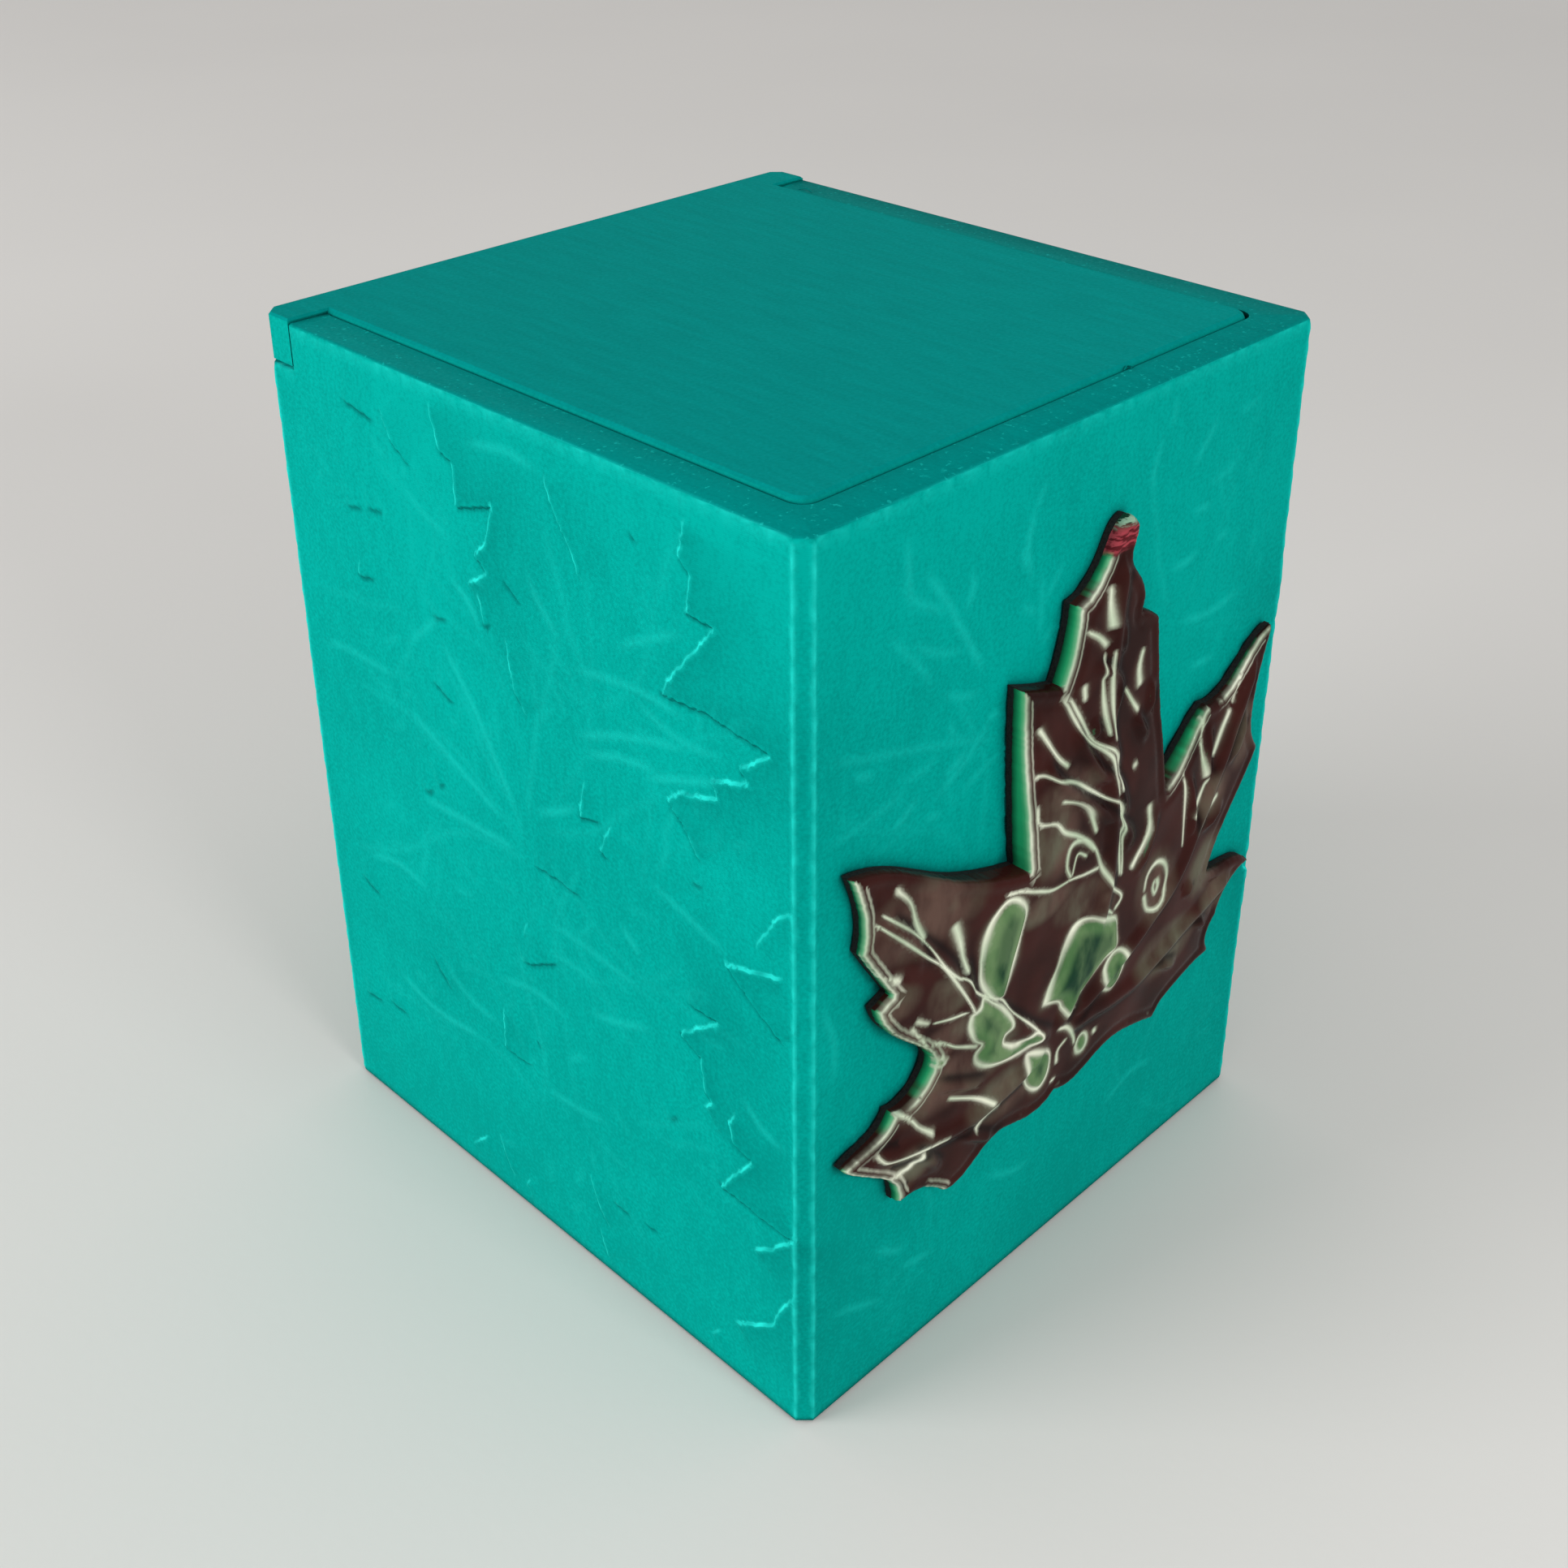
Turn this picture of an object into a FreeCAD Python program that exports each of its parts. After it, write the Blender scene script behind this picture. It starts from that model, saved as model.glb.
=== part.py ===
import FreeCAD, Part
import math
import os

from FreeCAD import Vector

# Card deck box: a printed case with a lid that slides out to the back, and a
# maple leaf badge stuck on its front.
# Millimetres. X runs across the front, +Y to the back, +Z up. The origin is the
# middle of the case's underside. The front, which carries the badge, faces -Y.

# Case
CASE_WIDTH = 79.0
CASE_DEPTH = 82.5
RIM_HEIGHT = 105.0
WALL = 4.6
FLOOR = 3.0
POCKET_CORNER = 2.0        # radius of the upright corners inside
CORNER_CHAMFER = 1.3       # upright outer edges
RIM_CHAMFER = 0.25
BASE_CHAMFER = 0.4
RELIEF = 0.35              # how far the band of leaf relief stands out from each side
RELIEF_FOOT_Z = 5.0
RELIEF_TOP_Z = 99.0        # below the step for the lid's head
BACK_RELIEF_TOP_Z = 95.0   # lower at the back, to clear the lid's head

# Lid
LID_PROUD = 0.4            # how far the lid stands above the rim
RAIL_WIDTH = 4.8           # rim beside the lid, at the top
UNDERCUT = 2.2             # how much further the dovetail reaches at its foot
LID_FOOT_Z = 101.0         # underside of the lid's slab
HEAD_DEPTH = 5.0           # full-width bar at the back of the lid
HEAD_FOOT_Z = 100.1
LID_CORNER = 2.0           # plan radius of the slab's front corners, at the top
LID_EDGE = 0.25            # small chamfer round the lid's top
SIDE_GAP = 0.2             # running clearance at the dovetail and under the slab
HEAD_GAP = 0.4             # slot between the head and the case's back wall

# Detent: two low bumps on the runners, two dimples under the lid
BUMP_RADIUS = 3.0
BUMP_HEIGHT = 0.15
BUMP_FROM_FRONT = 16.0
BUMP_FROM_POCKET = 1.0     # from the pocket's side wall to the middle of a bump

# Maple leaf badge
PAD_THICKNESS = 0.7
LEAF_EDGE_THICKNESS = 1.1  # at the tips of the lobes
BADGE_HEIGHT = 4.5         # from the relief to the highest point of the dome
DOME_RADIUS = 170.0
DOME_X = 37.0              # centre of the dome, from the case's left edge
DOME_Z = 53.0              # and from its underside

# The leaf's outline, clockwise from the top: one stretch from each point or
# notch to the next. Each pair is the distance from the case's left edge and the
# height above its underside.
LEAF_STRETCHES = [
    # middle lobe, right side
    [(44.3, 93.3), (45.9, 91.3), (45.1, 88.6), (46.4, 86.3), (47.1, 81.8)],
    [(47.1, 81.8), (48.8, 81.1), (50.3, 80.0)],
    [(50.3, 80.0), (50.9, 74.8), (51.9, 67.0), (53.4, 57.6)],
    # right lobe
    [(53.4, 57.6), (56.6, 59.2), (59.5, 62.0), (62.2, 64.0)],
    [(62.2, 64.0), (66.7, 64.5), (71.4, 68.0), (74.9, 69.3)],
    [(74.9, 69.3), (73.4, 65.0), (72.2, 58.6), (74.3, 53.6)],
    [(74.3, 53.6), (71.7, 49.9), (67.4, 45.3), (65.2, 40.6)],
    # lower right lobe
    [(65.2, 40.6), (68.5, 39.1), (72.0, 38.6), (75.8, 36.3)],
    [(75.8, 36.3), (72.0, 35.7), (70.0, 33.9), (69.2, 31.9)],
    [(69.2, 31.9), (67.7, 30.2), (68.6, 26.9)],
    [(68.6, 26.9), (65.0, 26.9), (61.0, 26.2), (58.0, 25.3)],
    [(58.0, 25.3), (56.4, 23.7)],
    [(56.4, 23.7), (52.5, 25.1), (46.5, 26.1), (40.5, 24.6), (36.9, 25.2)],
    # lower left lobe
    [(36.9, 25.2), (31.2, 24.3), (27.0, 25.0), (22.8, 22.7), (19.3, 22.0)],
    [(19.3, 22.0), (17.6, 23.6), (15.2, 25.1), (11.8, 25.4)],
    [(11.8, 25.4), (11.2, 28.2), (8.4, 31.0), (3.8, 34.8)],
    [(3.8, 34.8), (6.4, 35.5), (9.0, 36.2), (10.8, 38.0)],
    [(10.8, 38.0), (14.6, 38.7), (16.4, 41.3), (14.0, 44.9), (9.6, 49.3), (8.2, 52.3)],
    # left lobe
    [(8.2, 52.3), (10.3, 53.2)],
    [(10.3, 53.2), (8.5, 56.0), (5.9, 60.2)],
    [(5.9, 60.2), (6.3, 63.3), (5.7, 66.3), (4.6, 69.4)],
    [(4.6, 69.4), (10.0, 67.8), (18.6, 62.8), (24.5, 60.2), (29.4, 58.7)],
    # middle lobe, left side
    [(29.4, 58.7), (28.7, 66.0), (28.2, 73.5), (28.0, 80.1)],
    [(28.0, 80.1), (30.9, 79.0), (34.1, 78.0)],
    [(34.1, 78.0), (35.6, 82.0), (36.2, 86.2)],
    [(36.2, 86.2), (38.9, 87.3), (41.2, 90.0), (42.6, 92.3), (44.3, 93.3)],
]

LEFT = -CASE_WIDTH / 2
RIGHT = CASE_WIDTH / 2
FRONT = -CASE_DEPTH / 2
BACK = CASE_DEPTH / 2
LID_TOP = RIM_HEIGHT + LID_PROUD
HEAD_FRONT = BACK - HEAD_DEPTH
RUNNER_Z = LID_FOOT_Z - SIDE_GAP
BADGE_BACK = FRONT - RELIEF
OVERCUT = 1.0              # how far a cutting or joining solid reaches past a surface


def block(x0, x1, y0, y1, z0, z1):
    """A box from its limits along each axis."""
    return Part.makeBox(x1 - x0, y1 - y0, z1 - z0, Vector(x0, y0, z0))


def chamfered_bar(x0, x1, y0, y1, z0, z1, chamfer):
    """An upright bar whose four corners are chamfered in plan."""
    corners = [
        (x0 + chamfer, y0), (x1 - chamfer, y0), (x1, y0 + chamfer), (x1, y1 - chamfer),
        (x1 - chamfer, y1), (x0 + chamfer, y1), (x0, y1 - chamfer), (x0, y0 + chamfer),
    ]
    points = [Vector(x, y, z0) for x, y in corners]
    plan = Part.Face(Part.makePolygon(points + points[:1]))
    return plan.extrude(Vector(0, 0, z1 - z0))


def edges_at(solid, z):
    """The edges of a solid that lie at one height."""
    return [e for e in solid.Edges if all(abs(v.Point.z - z) < 1e-6 for v in e.Vertexes)]


def upright_edges(solid):
    """The edges of a block that run along Z."""
    return [e for e in solid.Edges if abs(e.tangentAt(e.FirstParameter).z) > 0.99]


def slab_outline(z, gap, y_end):
    """Plan of the lid's slab at a height, grown by a gap: two sides and a round-cornered nose."""
    slope = UNDERCUT / (RIM_HEIGHT - LID_FOOT_Z)
    inset = RAIL_WIDTH + SIDE_GAP - gap - slope * (RIM_HEIGHT - z)
    radius = LID_CORNER + RAIL_WIDTH + SIDE_GAP - inset
    x0 = LEFT + inset
    x1 = RIGHT - inset
    y0 = FRONT + inset
    diagonal = radius * (1 - math.sqrt(0.5))
    left_arc = Part.Arc(
        Vector(x0, y0 + radius, z), Vector(x0 + diagonal, y0 + diagonal, z), Vector(x0 + radius, y0, z)
    )
    right_arc = Part.Arc(
        Vector(x1 - radius, y0, z), Vector(x1 - diagonal, y0 + diagonal, z), Vector(x1, y0 + radius, z)
    )
    return Part.Wire([
        Part.makeLine(Vector(x0, y_end, z), Vector(x0, y0 + radius, z)),
        left_arc.toShape(),
        Part.makeLine(Vector(x0 + radius, y0, z), Vector(x1 - radius, y0, z)),
        right_arc.toShape(),
        Part.makeLine(Vector(x1, y0 + radius, z), Vector(x1, y_end, z)),
        Part.makeLine(Vector(x1, y_end, z), Vector(x0, y_end, z)),
    ])


def slab(z0, z1, gap, y_end):
    """The lid's dovetailed slab between two heights, grown by a gap."""
    ends = [slab_outline(z0, gap, y_end), slab_outline(z1, gap, y_end)]
    return Part.makeLoft(ends, True, True)


def detent_caps(z):
    """Two low spherical caps whose tops stand BUMP_HEIGHT above the given height."""
    x = RIGHT - WALL + BUMP_FROM_POCKET
    y = FRONT + BUMP_FROM_FRONT
    caps = []
    for side in (-1, 1):
        centre = Vector(side * x, y, z + BUMP_HEIGHT - BUMP_RADIUS)
        caps.append(Part.makeSphere(BUMP_RADIUS, centre))
    return caps[0].fuse(caps[1])


def relief_bands():
    """The raised band on each side of the case, between the upright chamfers."""
    x0 = LEFT + CORNER_CHAMFER
    x1 = RIGHT - CORNER_CHAMFER
    y0 = FRONT + CORNER_CHAMFER
    y1 = BACK - CORNER_CHAMFER
    across = block(LEFT - RELIEF, RIGHT + RELIEF, y0, y1, RELIEF_FOOT_Z, RELIEF_TOP_Z)
    front = block(x0, x1, FRONT - RELIEF, 0, RELIEF_FOOT_Z, RELIEF_TOP_Z)
    back = block(x0, x1, 0, BACK + RELIEF, RELIEF_FOOT_Z, BACK_RELIEF_TOP_Z)
    return across.fuse([front, back])


def build_case():
    """The printed case: floor, four walls, dovetail rails and the step for the lid's head."""
    shell = chamfered_bar(LEFT, RIGHT, FRONT, BACK, 0, RIM_HEIGHT, CORNER_CHAMFER)
    shell = shell.makeChamfer(BASE_CHAMFER, edges_at(shell, 0))
    shell = shell.makeChamfer(RIM_CHAMFER, edges_at(shell, RIM_HEIGHT))
    shell = shell.fuse(relief_bands())
    top = RIM_HEIGHT + OVERCUT
    back = BACK + OVERCUT
    pocket = block(LEFT + WALL, RIGHT - WALL, FRONT + WALL, BACK - WALL, FLOOR, top)
    pocket = pocket.makeFillet(POCKET_CORNER, upright_edges(pocket))
    channel = slab(RUNNER_Z, top, SIDE_GAP, back)
    step = block(
        LEFT - OVERCUT, RIGHT + OVERCUT, HEAD_FRONT - SIDE_GAP, back, HEAD_FOOT_Z - HEAD_GAP, top
    )
    case = shell.cut(pocket).cut(channel).cut(step)
    # The caps are trimmed to the case's walls, so nothing hangs in the pocket.
    bumps = detent_caps(RUNNER_Z).cut(pocket)
    return case.fuse(bumps).removeSplitter()


def build_lid():
    """The sliding lid: dovetailed slab, head bar across the back, and two detent dimples."""
    bar = chamfered_bar(
        LEFT, RIGHT, HEAD_FRONT - HEAD_DEPTH, BACK, HEAD_FOOT_Z, LID_TOP, CORNER_CHAMFER
    )
    head = bar.common(block(LEFT, RIGHT, HEAD_FRONT, BACK, HEAD_FOOT_Z, LID_TOP))
    lid = slab(LID_FOOT_Z, LID_TOP, 0, HEAD_FRONT + OVERCUT).fuse(head).removeSplitter()
    lid = lid.makeChamfer(LID_EDGE, edges_at(lid, LID_TOP))
    return lid.cut(detent_caps(LID_FOOT_Z)).removeSplitter()


def leaf_face(y):
    """The leaf's outline as a flat face at one depth."""
    edges = []
    for stretch in LEAF_STRETCHES:
        points = [Vector(LEFT + x, y, z) for x, z in stretch]
        if len(points) == 2:
            edges.append(Part.makeLine(points[0], points[1]))
        else:
            curve = Part.BSplineCurve()
            curve.interpolate(points)
            edges.append(curve.toShape())
    return Part.Face(Part.Wire(edges))


def build_pad():
    """The thin adhesive pad between the leaf and the case, cut to the leaf's outline."""
    return leaf_face(BADGE_BACK).extrude(Vector(0, -PAD_THICKNESS, 0))


def build_leaf():
    """The leaf badge: an even edge with a shallow dome rising to its middle."""
    outline = leaf_face(BADGE_BACK - PAD_THICKNESS)
    plate = outline.extrude(Vector(0, -LEAF_EDGE_THICKNESS, 0))
    blank = outline.extrude(Vector(0, -BADGE_HEIGHT, 0))
    centre = Vector(LEFT + DOME_X, BADGE_BACK - BADGE_HEIGHT + DOME_RADIUS, DOME_Z)
    dome = blank.common(Part.makeSphere(DOME_RADIUS, centre))
    return plate.fuse(dome).removeSplitter()


def main():
    os.makedirs("parts", exist_ok=True)
    pieces = {
        "box_body": build_case(),
        "sliding_lid": build_lid(),
        "leaf_badge": build_leaf(),
        "badge_adhesive_pad": build_pad(),
    }
    for name, shape in pieces.items():
        print(name, "valid", shape.isValid(), "solids", len(shape.Solids), "volume", round(shape.Volume, 1))
        shape.exportStep("parts/" + name + ".step")


main()
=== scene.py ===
import math

import bmesh
import bpy
import numpy as np
from mathutils import Matrix, Vector, geometry


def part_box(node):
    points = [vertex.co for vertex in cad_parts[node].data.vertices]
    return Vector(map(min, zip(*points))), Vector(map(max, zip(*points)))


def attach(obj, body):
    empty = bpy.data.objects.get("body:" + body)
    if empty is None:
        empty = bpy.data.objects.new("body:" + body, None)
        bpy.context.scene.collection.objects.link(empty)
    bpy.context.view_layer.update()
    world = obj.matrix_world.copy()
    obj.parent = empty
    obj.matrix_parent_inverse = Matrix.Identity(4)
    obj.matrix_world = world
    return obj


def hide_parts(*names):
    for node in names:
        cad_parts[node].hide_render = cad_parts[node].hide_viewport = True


# The looks of the card deck box: relief on the case's outer walls, the ribbed and
# glossy leaf badge, a few stray threads of plastic, materials, floor, light, camera.
# Shapes are worked out in millimetres in the row frame and turned into metres last.

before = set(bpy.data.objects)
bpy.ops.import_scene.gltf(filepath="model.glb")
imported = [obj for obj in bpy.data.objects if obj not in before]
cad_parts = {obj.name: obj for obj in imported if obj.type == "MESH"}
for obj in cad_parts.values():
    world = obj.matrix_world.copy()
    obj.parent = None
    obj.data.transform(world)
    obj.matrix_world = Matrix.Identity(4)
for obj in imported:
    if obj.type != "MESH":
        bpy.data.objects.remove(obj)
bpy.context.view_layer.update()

MM = 0.001
RANDOM = np.random.default_rng(11)

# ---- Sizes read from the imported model, in millimetres ----
CASE_HIGH, LID_HIGH, PAD_HIGH = [
    np.array(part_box(node)[1]) / MM for node in ("box_body", "sliding_lid", "badge_adhesive_pad")]
LEAF_LOW, LEAF_HIGH = [np.array(corner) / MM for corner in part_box("leaf_badge")]

RIGHT = LID_HIGH[0]  # flat of the side walls
BACK = LID_HIGH[1]  # flat of the back wall
LEFT = -RIGHT
FRONT = -BACK
RELIEF = CASE_HIGH[0] - RIGHT  # most that the relief may stand out
RIM = CASE_HIGH[2]

# Sizes of the case that the boxes don't give, as in its CAD
CORNER_CHAMFER = 1.3
WALL_FOOT = 0.4  # above the chamfer round the base
WALL_TOP = RIM - 0.25  # below the chamfer round the rim
STEP_Y = 36.05  # the step that the lid's head sits in
STEP_Z = 99.7

# Relief: how far each kind of line rises or sinks, and its half width
STEP_RISE = 0.26
STEP_SLOPE = 2.4  # how far back from its edge a raised leaf fades out
STEP_ROWS = (-2.6, -1.3, -0.6, -0.24, -0.07, 0.07, 0.2, 0.38, 0.8)  # mesh rows beside a step
SHORT_STEP = 7.0  # a step shorter than this gets a wider notch
NOTCH_DEPTH = 0.22
SURFACE_RISE = 0.035  # of the whole surface, and of the gentle waves in it
SURFACE_WAVES = 0.02
VEIN_RISE = 0.06
VEIN_HALF = 0.85
VEIN_ROWS = (0.0, -0.42, 0.42, -0.85, 0.85)  # mesh rows along a vein
CORNER_BEAD_RISE = 0.16
CORNER_BEAD_HALF = 0.21
VEIN_LIGHT, CORNER_BEAD_LIGHT, RIM_LIGHT = 0.17, 0.70, 0.28  # how much painted highlight they get
RELIEF_FADE = 0.8  # the relief sinks to the wall's flat over this distance

# Badge: half width and rise of its ribs and side veins, its round edge and its groove
RIB_HALF = 1.7
RIB_RISE = 0.66
SIDE_VEIN_HALF = 1.15
SIDE_VEIN_RISE = 0.62
BADGE_EDGE_RADIUS = 0.75
EDGE_RINGS = (0.08, 0.22, 0.42, 0.7, 1.0, 1.35, 1.75)  # mesh rings inside its outline
GROOVE_INSET = 1.5
GROOVE_HALF = 0.45
GROOVE_DEPTH = 0.16
HEIGHT_BLEND = 5.5  # how far each of LEAF_HEIGHTS reaches
BADGE_LINE_STEP = 0.3  # spacing of the points along the coating's lines

# Relief on the walls. A step is a leaf's edge, a line along which the surface
# drops to the leaf, on the right of the direction of travel. A vein is a soft
# raised line. Each pair is the distance along the wall, from its left edge as
# seen from outside, and the height above the base.
LEFT_WALL_STEPS = [
    [(67.8, 102.5), (67, 98.4), (68.5, 97), (67.8, 93), (71.5, 92.8), (67.5, 88), (65, 85),
     (64, 83), (70, 83.5), (78.7, 82.6), (74.5, 79.5), (75.5, 78.2), (70.5, 76.5),
     (71.5, 74.8), (66, 73), (64.3, 71.5), (66.5, 69.5), (69, 66)],
    [(81.5, 67), (79, 65), (76, 60)],
    [(80, 58.5), (72, 56), (76, 53), (80, 50.5)],
    [(66, 48), (71, 48.2), (68, 46), (65, 43.5), (68, 42), (68.5, 38), (69.5, 37), (68, 35.5)],
    [(73, 38), (72, 36), (72.5, 33.5), (75.5, 33), (73, 30), (70.5, 26.5), (80, 26),
     (81.5, 26.5), (78, 23), (75, 20.8)],
    [(48, 100.6), (49.5, 97), (51.5, 94), (53, 90.5)],
    [(30, 103), (31.5, 98), (33.5, 97.5), (33.5, 92.5), (39.5, 94.5), (38, 90), (36, 88),
     (38, 86.5), (34, 84)],
    [(36, 84), (36.5, 80), (38, 80.8)],
    [(40, 87), (43.5, 84.5)],
    [(40, 80), (41, 74), (43, 71.5)],
    [(14, 99), (20, 98)],
    [(21, 100), (23, 96.5), (26, 94.5)],
    [(12.5, 86), (16, 86.8)],
    [(16.5, 87), (20, 87.6)],
    [(14, 80), (14, 78), (17, 78.5)],
    [(27, 77.5), (30, 78.5)],
    [(26, 69.5), (30, 67.8)],
    [(51.5, 68), (50.5, 63), (54, 64)],
    [(55.5, 64.5), (53.5, 60.5), (55, 59.5)],
    [(22, 53.4), (24.5, 54.4)],
    [(25, 55.4), (26.5, 56.4)],
    [(42, 53), (46, 53.2), (50, 52.7)],
    [(40, 44.5), (39, 42)],
    [(38.5, 38), (42, 39.8), (45, 41.5)],
    [(6.5, 34.3), (10.5, 33)],
    [(62.5, 30), (64, 32)],
    [(20.5, 29.5), (24, 26)],
    [(34.2, 29.5), (34, 23.5), (39, 23.5)],
    [(40, 28), (41, 27)],
    [(48.3, 13.5), (49.5, 10), (51.5, 7)],
    [(49.5, 6), (51, 2)],
    [(31, 8.5), (32, 6), (33.5, 3)],
    [(28.8, 6.5), (27, 5), (25, 3)],
    [(36.7, 5), (35.5, 3)],
    [(4, 15), (8, 15.5)],
    [(9.5, 16.6), (13.5, 16.5)],
    [(52, 12), (55.5, 11.7)],
    [(57.5, 12.4), (60, 12.5)],
    [(81.5, 19), (79, 15), (78, 12), (72, 8)],
    [(70, 5), (68, 3.5)],
    [(67, 63.3), (69, 63.6)],
    [(60, 98.8), (61.4, 97.5)],
]
LEFT_WALL_VEINS = [
    [(4, 65.3), (8, 66.8), (14, 67), (20, 67)], [(21, 52.4), (30, 53), (40, 53.6)],
    [(20, 64), (28, 60.5), (38, 56)], [(28, 76), (34, 68), (40, 58)],
    [(21, 71.5), (25, 75), (29.5, 79)], [(50, 72.5), (58, 75.8), (68, 78.6)],
    [(51, 70.8), (57, 73), (64, 74.2)], [(50, 80.4), (60, 82), (68, 81.5)],
    [(57, 85), (62, 88), (68, 91)], [(59, 81), (66, 79), (73, 79.5)],
    [(42, 60), (46, 61.5), (51, 64.5)], [(30, 84), (34, 82), (36, 78)],
    [(44, 90), (46, 86), (50, 82)], [(23, 93), (27, 90), (33, 88)],
    [(43, 46.4), (50, 46.4), (60, 45.4)], [(56, 53), (58, 50.8), (59.5, 49.6)],
    [(60, 60.5), (68, 58.4), (73, 56.8)], [(45, 27.5), (47, 29.5), (49.5, 31)],
    [(40, 21.6), (47, 22.2), (53, 23.6)], [(42, 42), (48, 42.6), (54, 41.6)],
    [(49, 37.4), (55, 39), (61, 41.6)], [(33, 33), (40, 35), (47, 34.4)],
    [(60, 72), (68, 75.2), (73, 77)], [(8, 38), (15, 40), (22, 39)],
    [(35, 100), (42, 101.2), (48, 100.6)], [(73, 41), (77, 38), (81, 37)],
    [(22, 31), (27, 27), (34, 26)], [(12, 23), (20, 21), (30, 22)],
]
FRONT_WALL_VEINS = [
    [(2.4, 82.2), (10, 79.8), (20, 76.8), (28, 74)], [(12, 75.7), (16, 75.5), (19, 77)],
    [(18.5, 73.3), (21, 74.1), (23, 75.6)], [(19.6, 79.6), (20.6, 76.8)],
    [(10, 92.6), (13.4, 89), (16.4, 85.4), (17, 83)], [(13, 90.4), (18, 87.4), (22.6, 86)],
    [(12, 98), (14, 94.4), (20, 90.6)], [(15, 97.4), (18.4, 93), (21, 88.6), (25, 82)],
    [(18, 83), (21.6, 81.2), (25, 80.6)], [(22.2, 95), (22.4, 92.4), (21, 90)],
    [(33, 100.6), (31, 97)], [(31.6, 91), (33, 88.6), (33, 82)], [(36.6, 91), (33, 86.2)],
    [(29.4, 88), (33, 85.8)], [(35.6, 84), (33, 82)], [(25, 77.5), (27.6, 77)],
    [(16, 69.8), (19.4, 69.3)], [(21, 70), (25, 71.6), (28.6, 72.6)],
    [(6, 79.4), (9.6, 77.8)], [(65, 98), (67, 97.6), (69.6, 98.6)],
    [(60, 90.8), (64, 91.2), (67, 92.8)], [(58, 88.4), (62, 88.2)],
    [(54.4, 82.8), (58.4, 82.8), (60.6, 83.6)], [(63, 83.4), (66, 83.8)],
    [(60, 68.8), (66, 68.4)], [(57, 76), (63, 74.6), (70, 75.4)],
    [(3, 14.2), (8, 12), (13, 9.4)], [(10, 19), (13, 16.4), (16, 15)],
    [(14, 13), (17, 12), (21, 11.2)], [(28, 17), (33, 14), (38, 13)],
    [(50, 12), (56, 14.4), (62, 13.4)], [(2, 56), (4, 50), (4, 44)],
    [(53.6, 103.2), (53, 99)], [(51.8, 100), (50.4, 95), (51.4, 92)], [(62, 99), (59.6, 96), (57, 93)],
    [(31.6, 99), (30.4, 94), (31.4, 89)], [(29.6, 94.8), (30.2, 91)],
    [(13, 102), (13.4, 96), (14.4, 92)],
    [(2, 73), (8, 73.4), (15, 74.6)], [(17, 71), (22, 73.6), (27, 78)], [(11, 70), (16, 73)],
]
# Leaves whose faint veins cross the two decorated walls, and leaves scattered over the
# other two: middle along the wall, height of the middle, size against the badge, turn in
# degrees.
VEINED_LEAVES = {
    "left": [(55, 61.6, 0.75, -58), (37.6, 71.1, 0.80, 30), (29.7, 49.1, 0.70, 120),
             (56.2, 31.7, 0.70, -107), (30, 20, 0.62, 96), (60, 85, 0.5, -20), (17, 84, 0.5, 60)],
    "front": [(16, 24, 0.5, 40), (62, 84, 0.5, -24), (64, 12, 0.4, -70), (18, 66, 0.5, 60)],
}
SCATTERED_LEAVES = {
    "right": [(25, 72, 0.62, 24), (58, 79, 0.5, -38), (56, 36, 0.7, 160), (20, 27, 0.55, 75),
              (41, 55, 0.42, -100)],
    "back": [(22, 70, 0.55, -30), (55, 66, 0.66, 40), (28, 28, 0.6, 130), (61, 24, 0.48, -75)],
}

# ---- The badge: distance from the case's left edge, height above the base ----
# How far the leaf's upper face stands in front of the wall, at some places
LEAF_HEIGHTS = [
    (4.6, 69.4, 2.1), (6, 60, 2.1), (9, 52, 2.3), (14, 45, 2.7), (17, 41, 2.9),
    (3.8, 34.8, 2.0), (12, 30, 2.4), (19, 22, 2.3), (30, 25, 2.7), (45, 26, 2.8),
    (58, 25, 2.2), (69, 30, 1.8), (75.8, 36, 1.6), (65, 41, 2.4), (74, 54, 1.7),
    (75, 69, 1.7), (63, 64, 2.1), (53.4, 57.6, 3.6), (51, 74, 2.7), (50, 80, 2.4),
    (46, 90, 2.3), (44, 93, 2.1), (36, 84, 2.9), (28, 80, 2.5), (28.4, 72, 2.9),
    (28.7, 62, 3.5), (29.4, 58.7, 4.1), (20, 62, 3.0), (22, 50, 3.3), (37, 50, 3.7),
    (45, 40, 3.7), (30, 38, 3.5), (56, 45, 3.4), (42, 62, 3.8), (42, 75, 3.3), (20, 32, 2.8),
    (36, 31, 3.2), (55, 33, 2.9), (65, 56, 2.6),
]
RIBS = [
    [(44, 90), (42.3, 83), (41.5, 75), (41.5, 68), (42.4, 62), (43, 55), (42, 47), (39, 40), (36, 34)],
    [(8.9, 62.1), (15.9, 54.5), (20.9, 47.3), (25.8, 42.4), (30.6, 37.6), (35, 34)],
    [(6.5, 34.2), (14, 32), (22, 30.5), (29, 31.5), (35, 34)],
    [(72, 66.5), (68.3, 61), (65, 55), (61, 49.8), (57, 44), (48, 39), (38, 35)],
    [(72, 37.2), (66, 36), (60, 35), (50, 33), (38, 34)],
]
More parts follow.
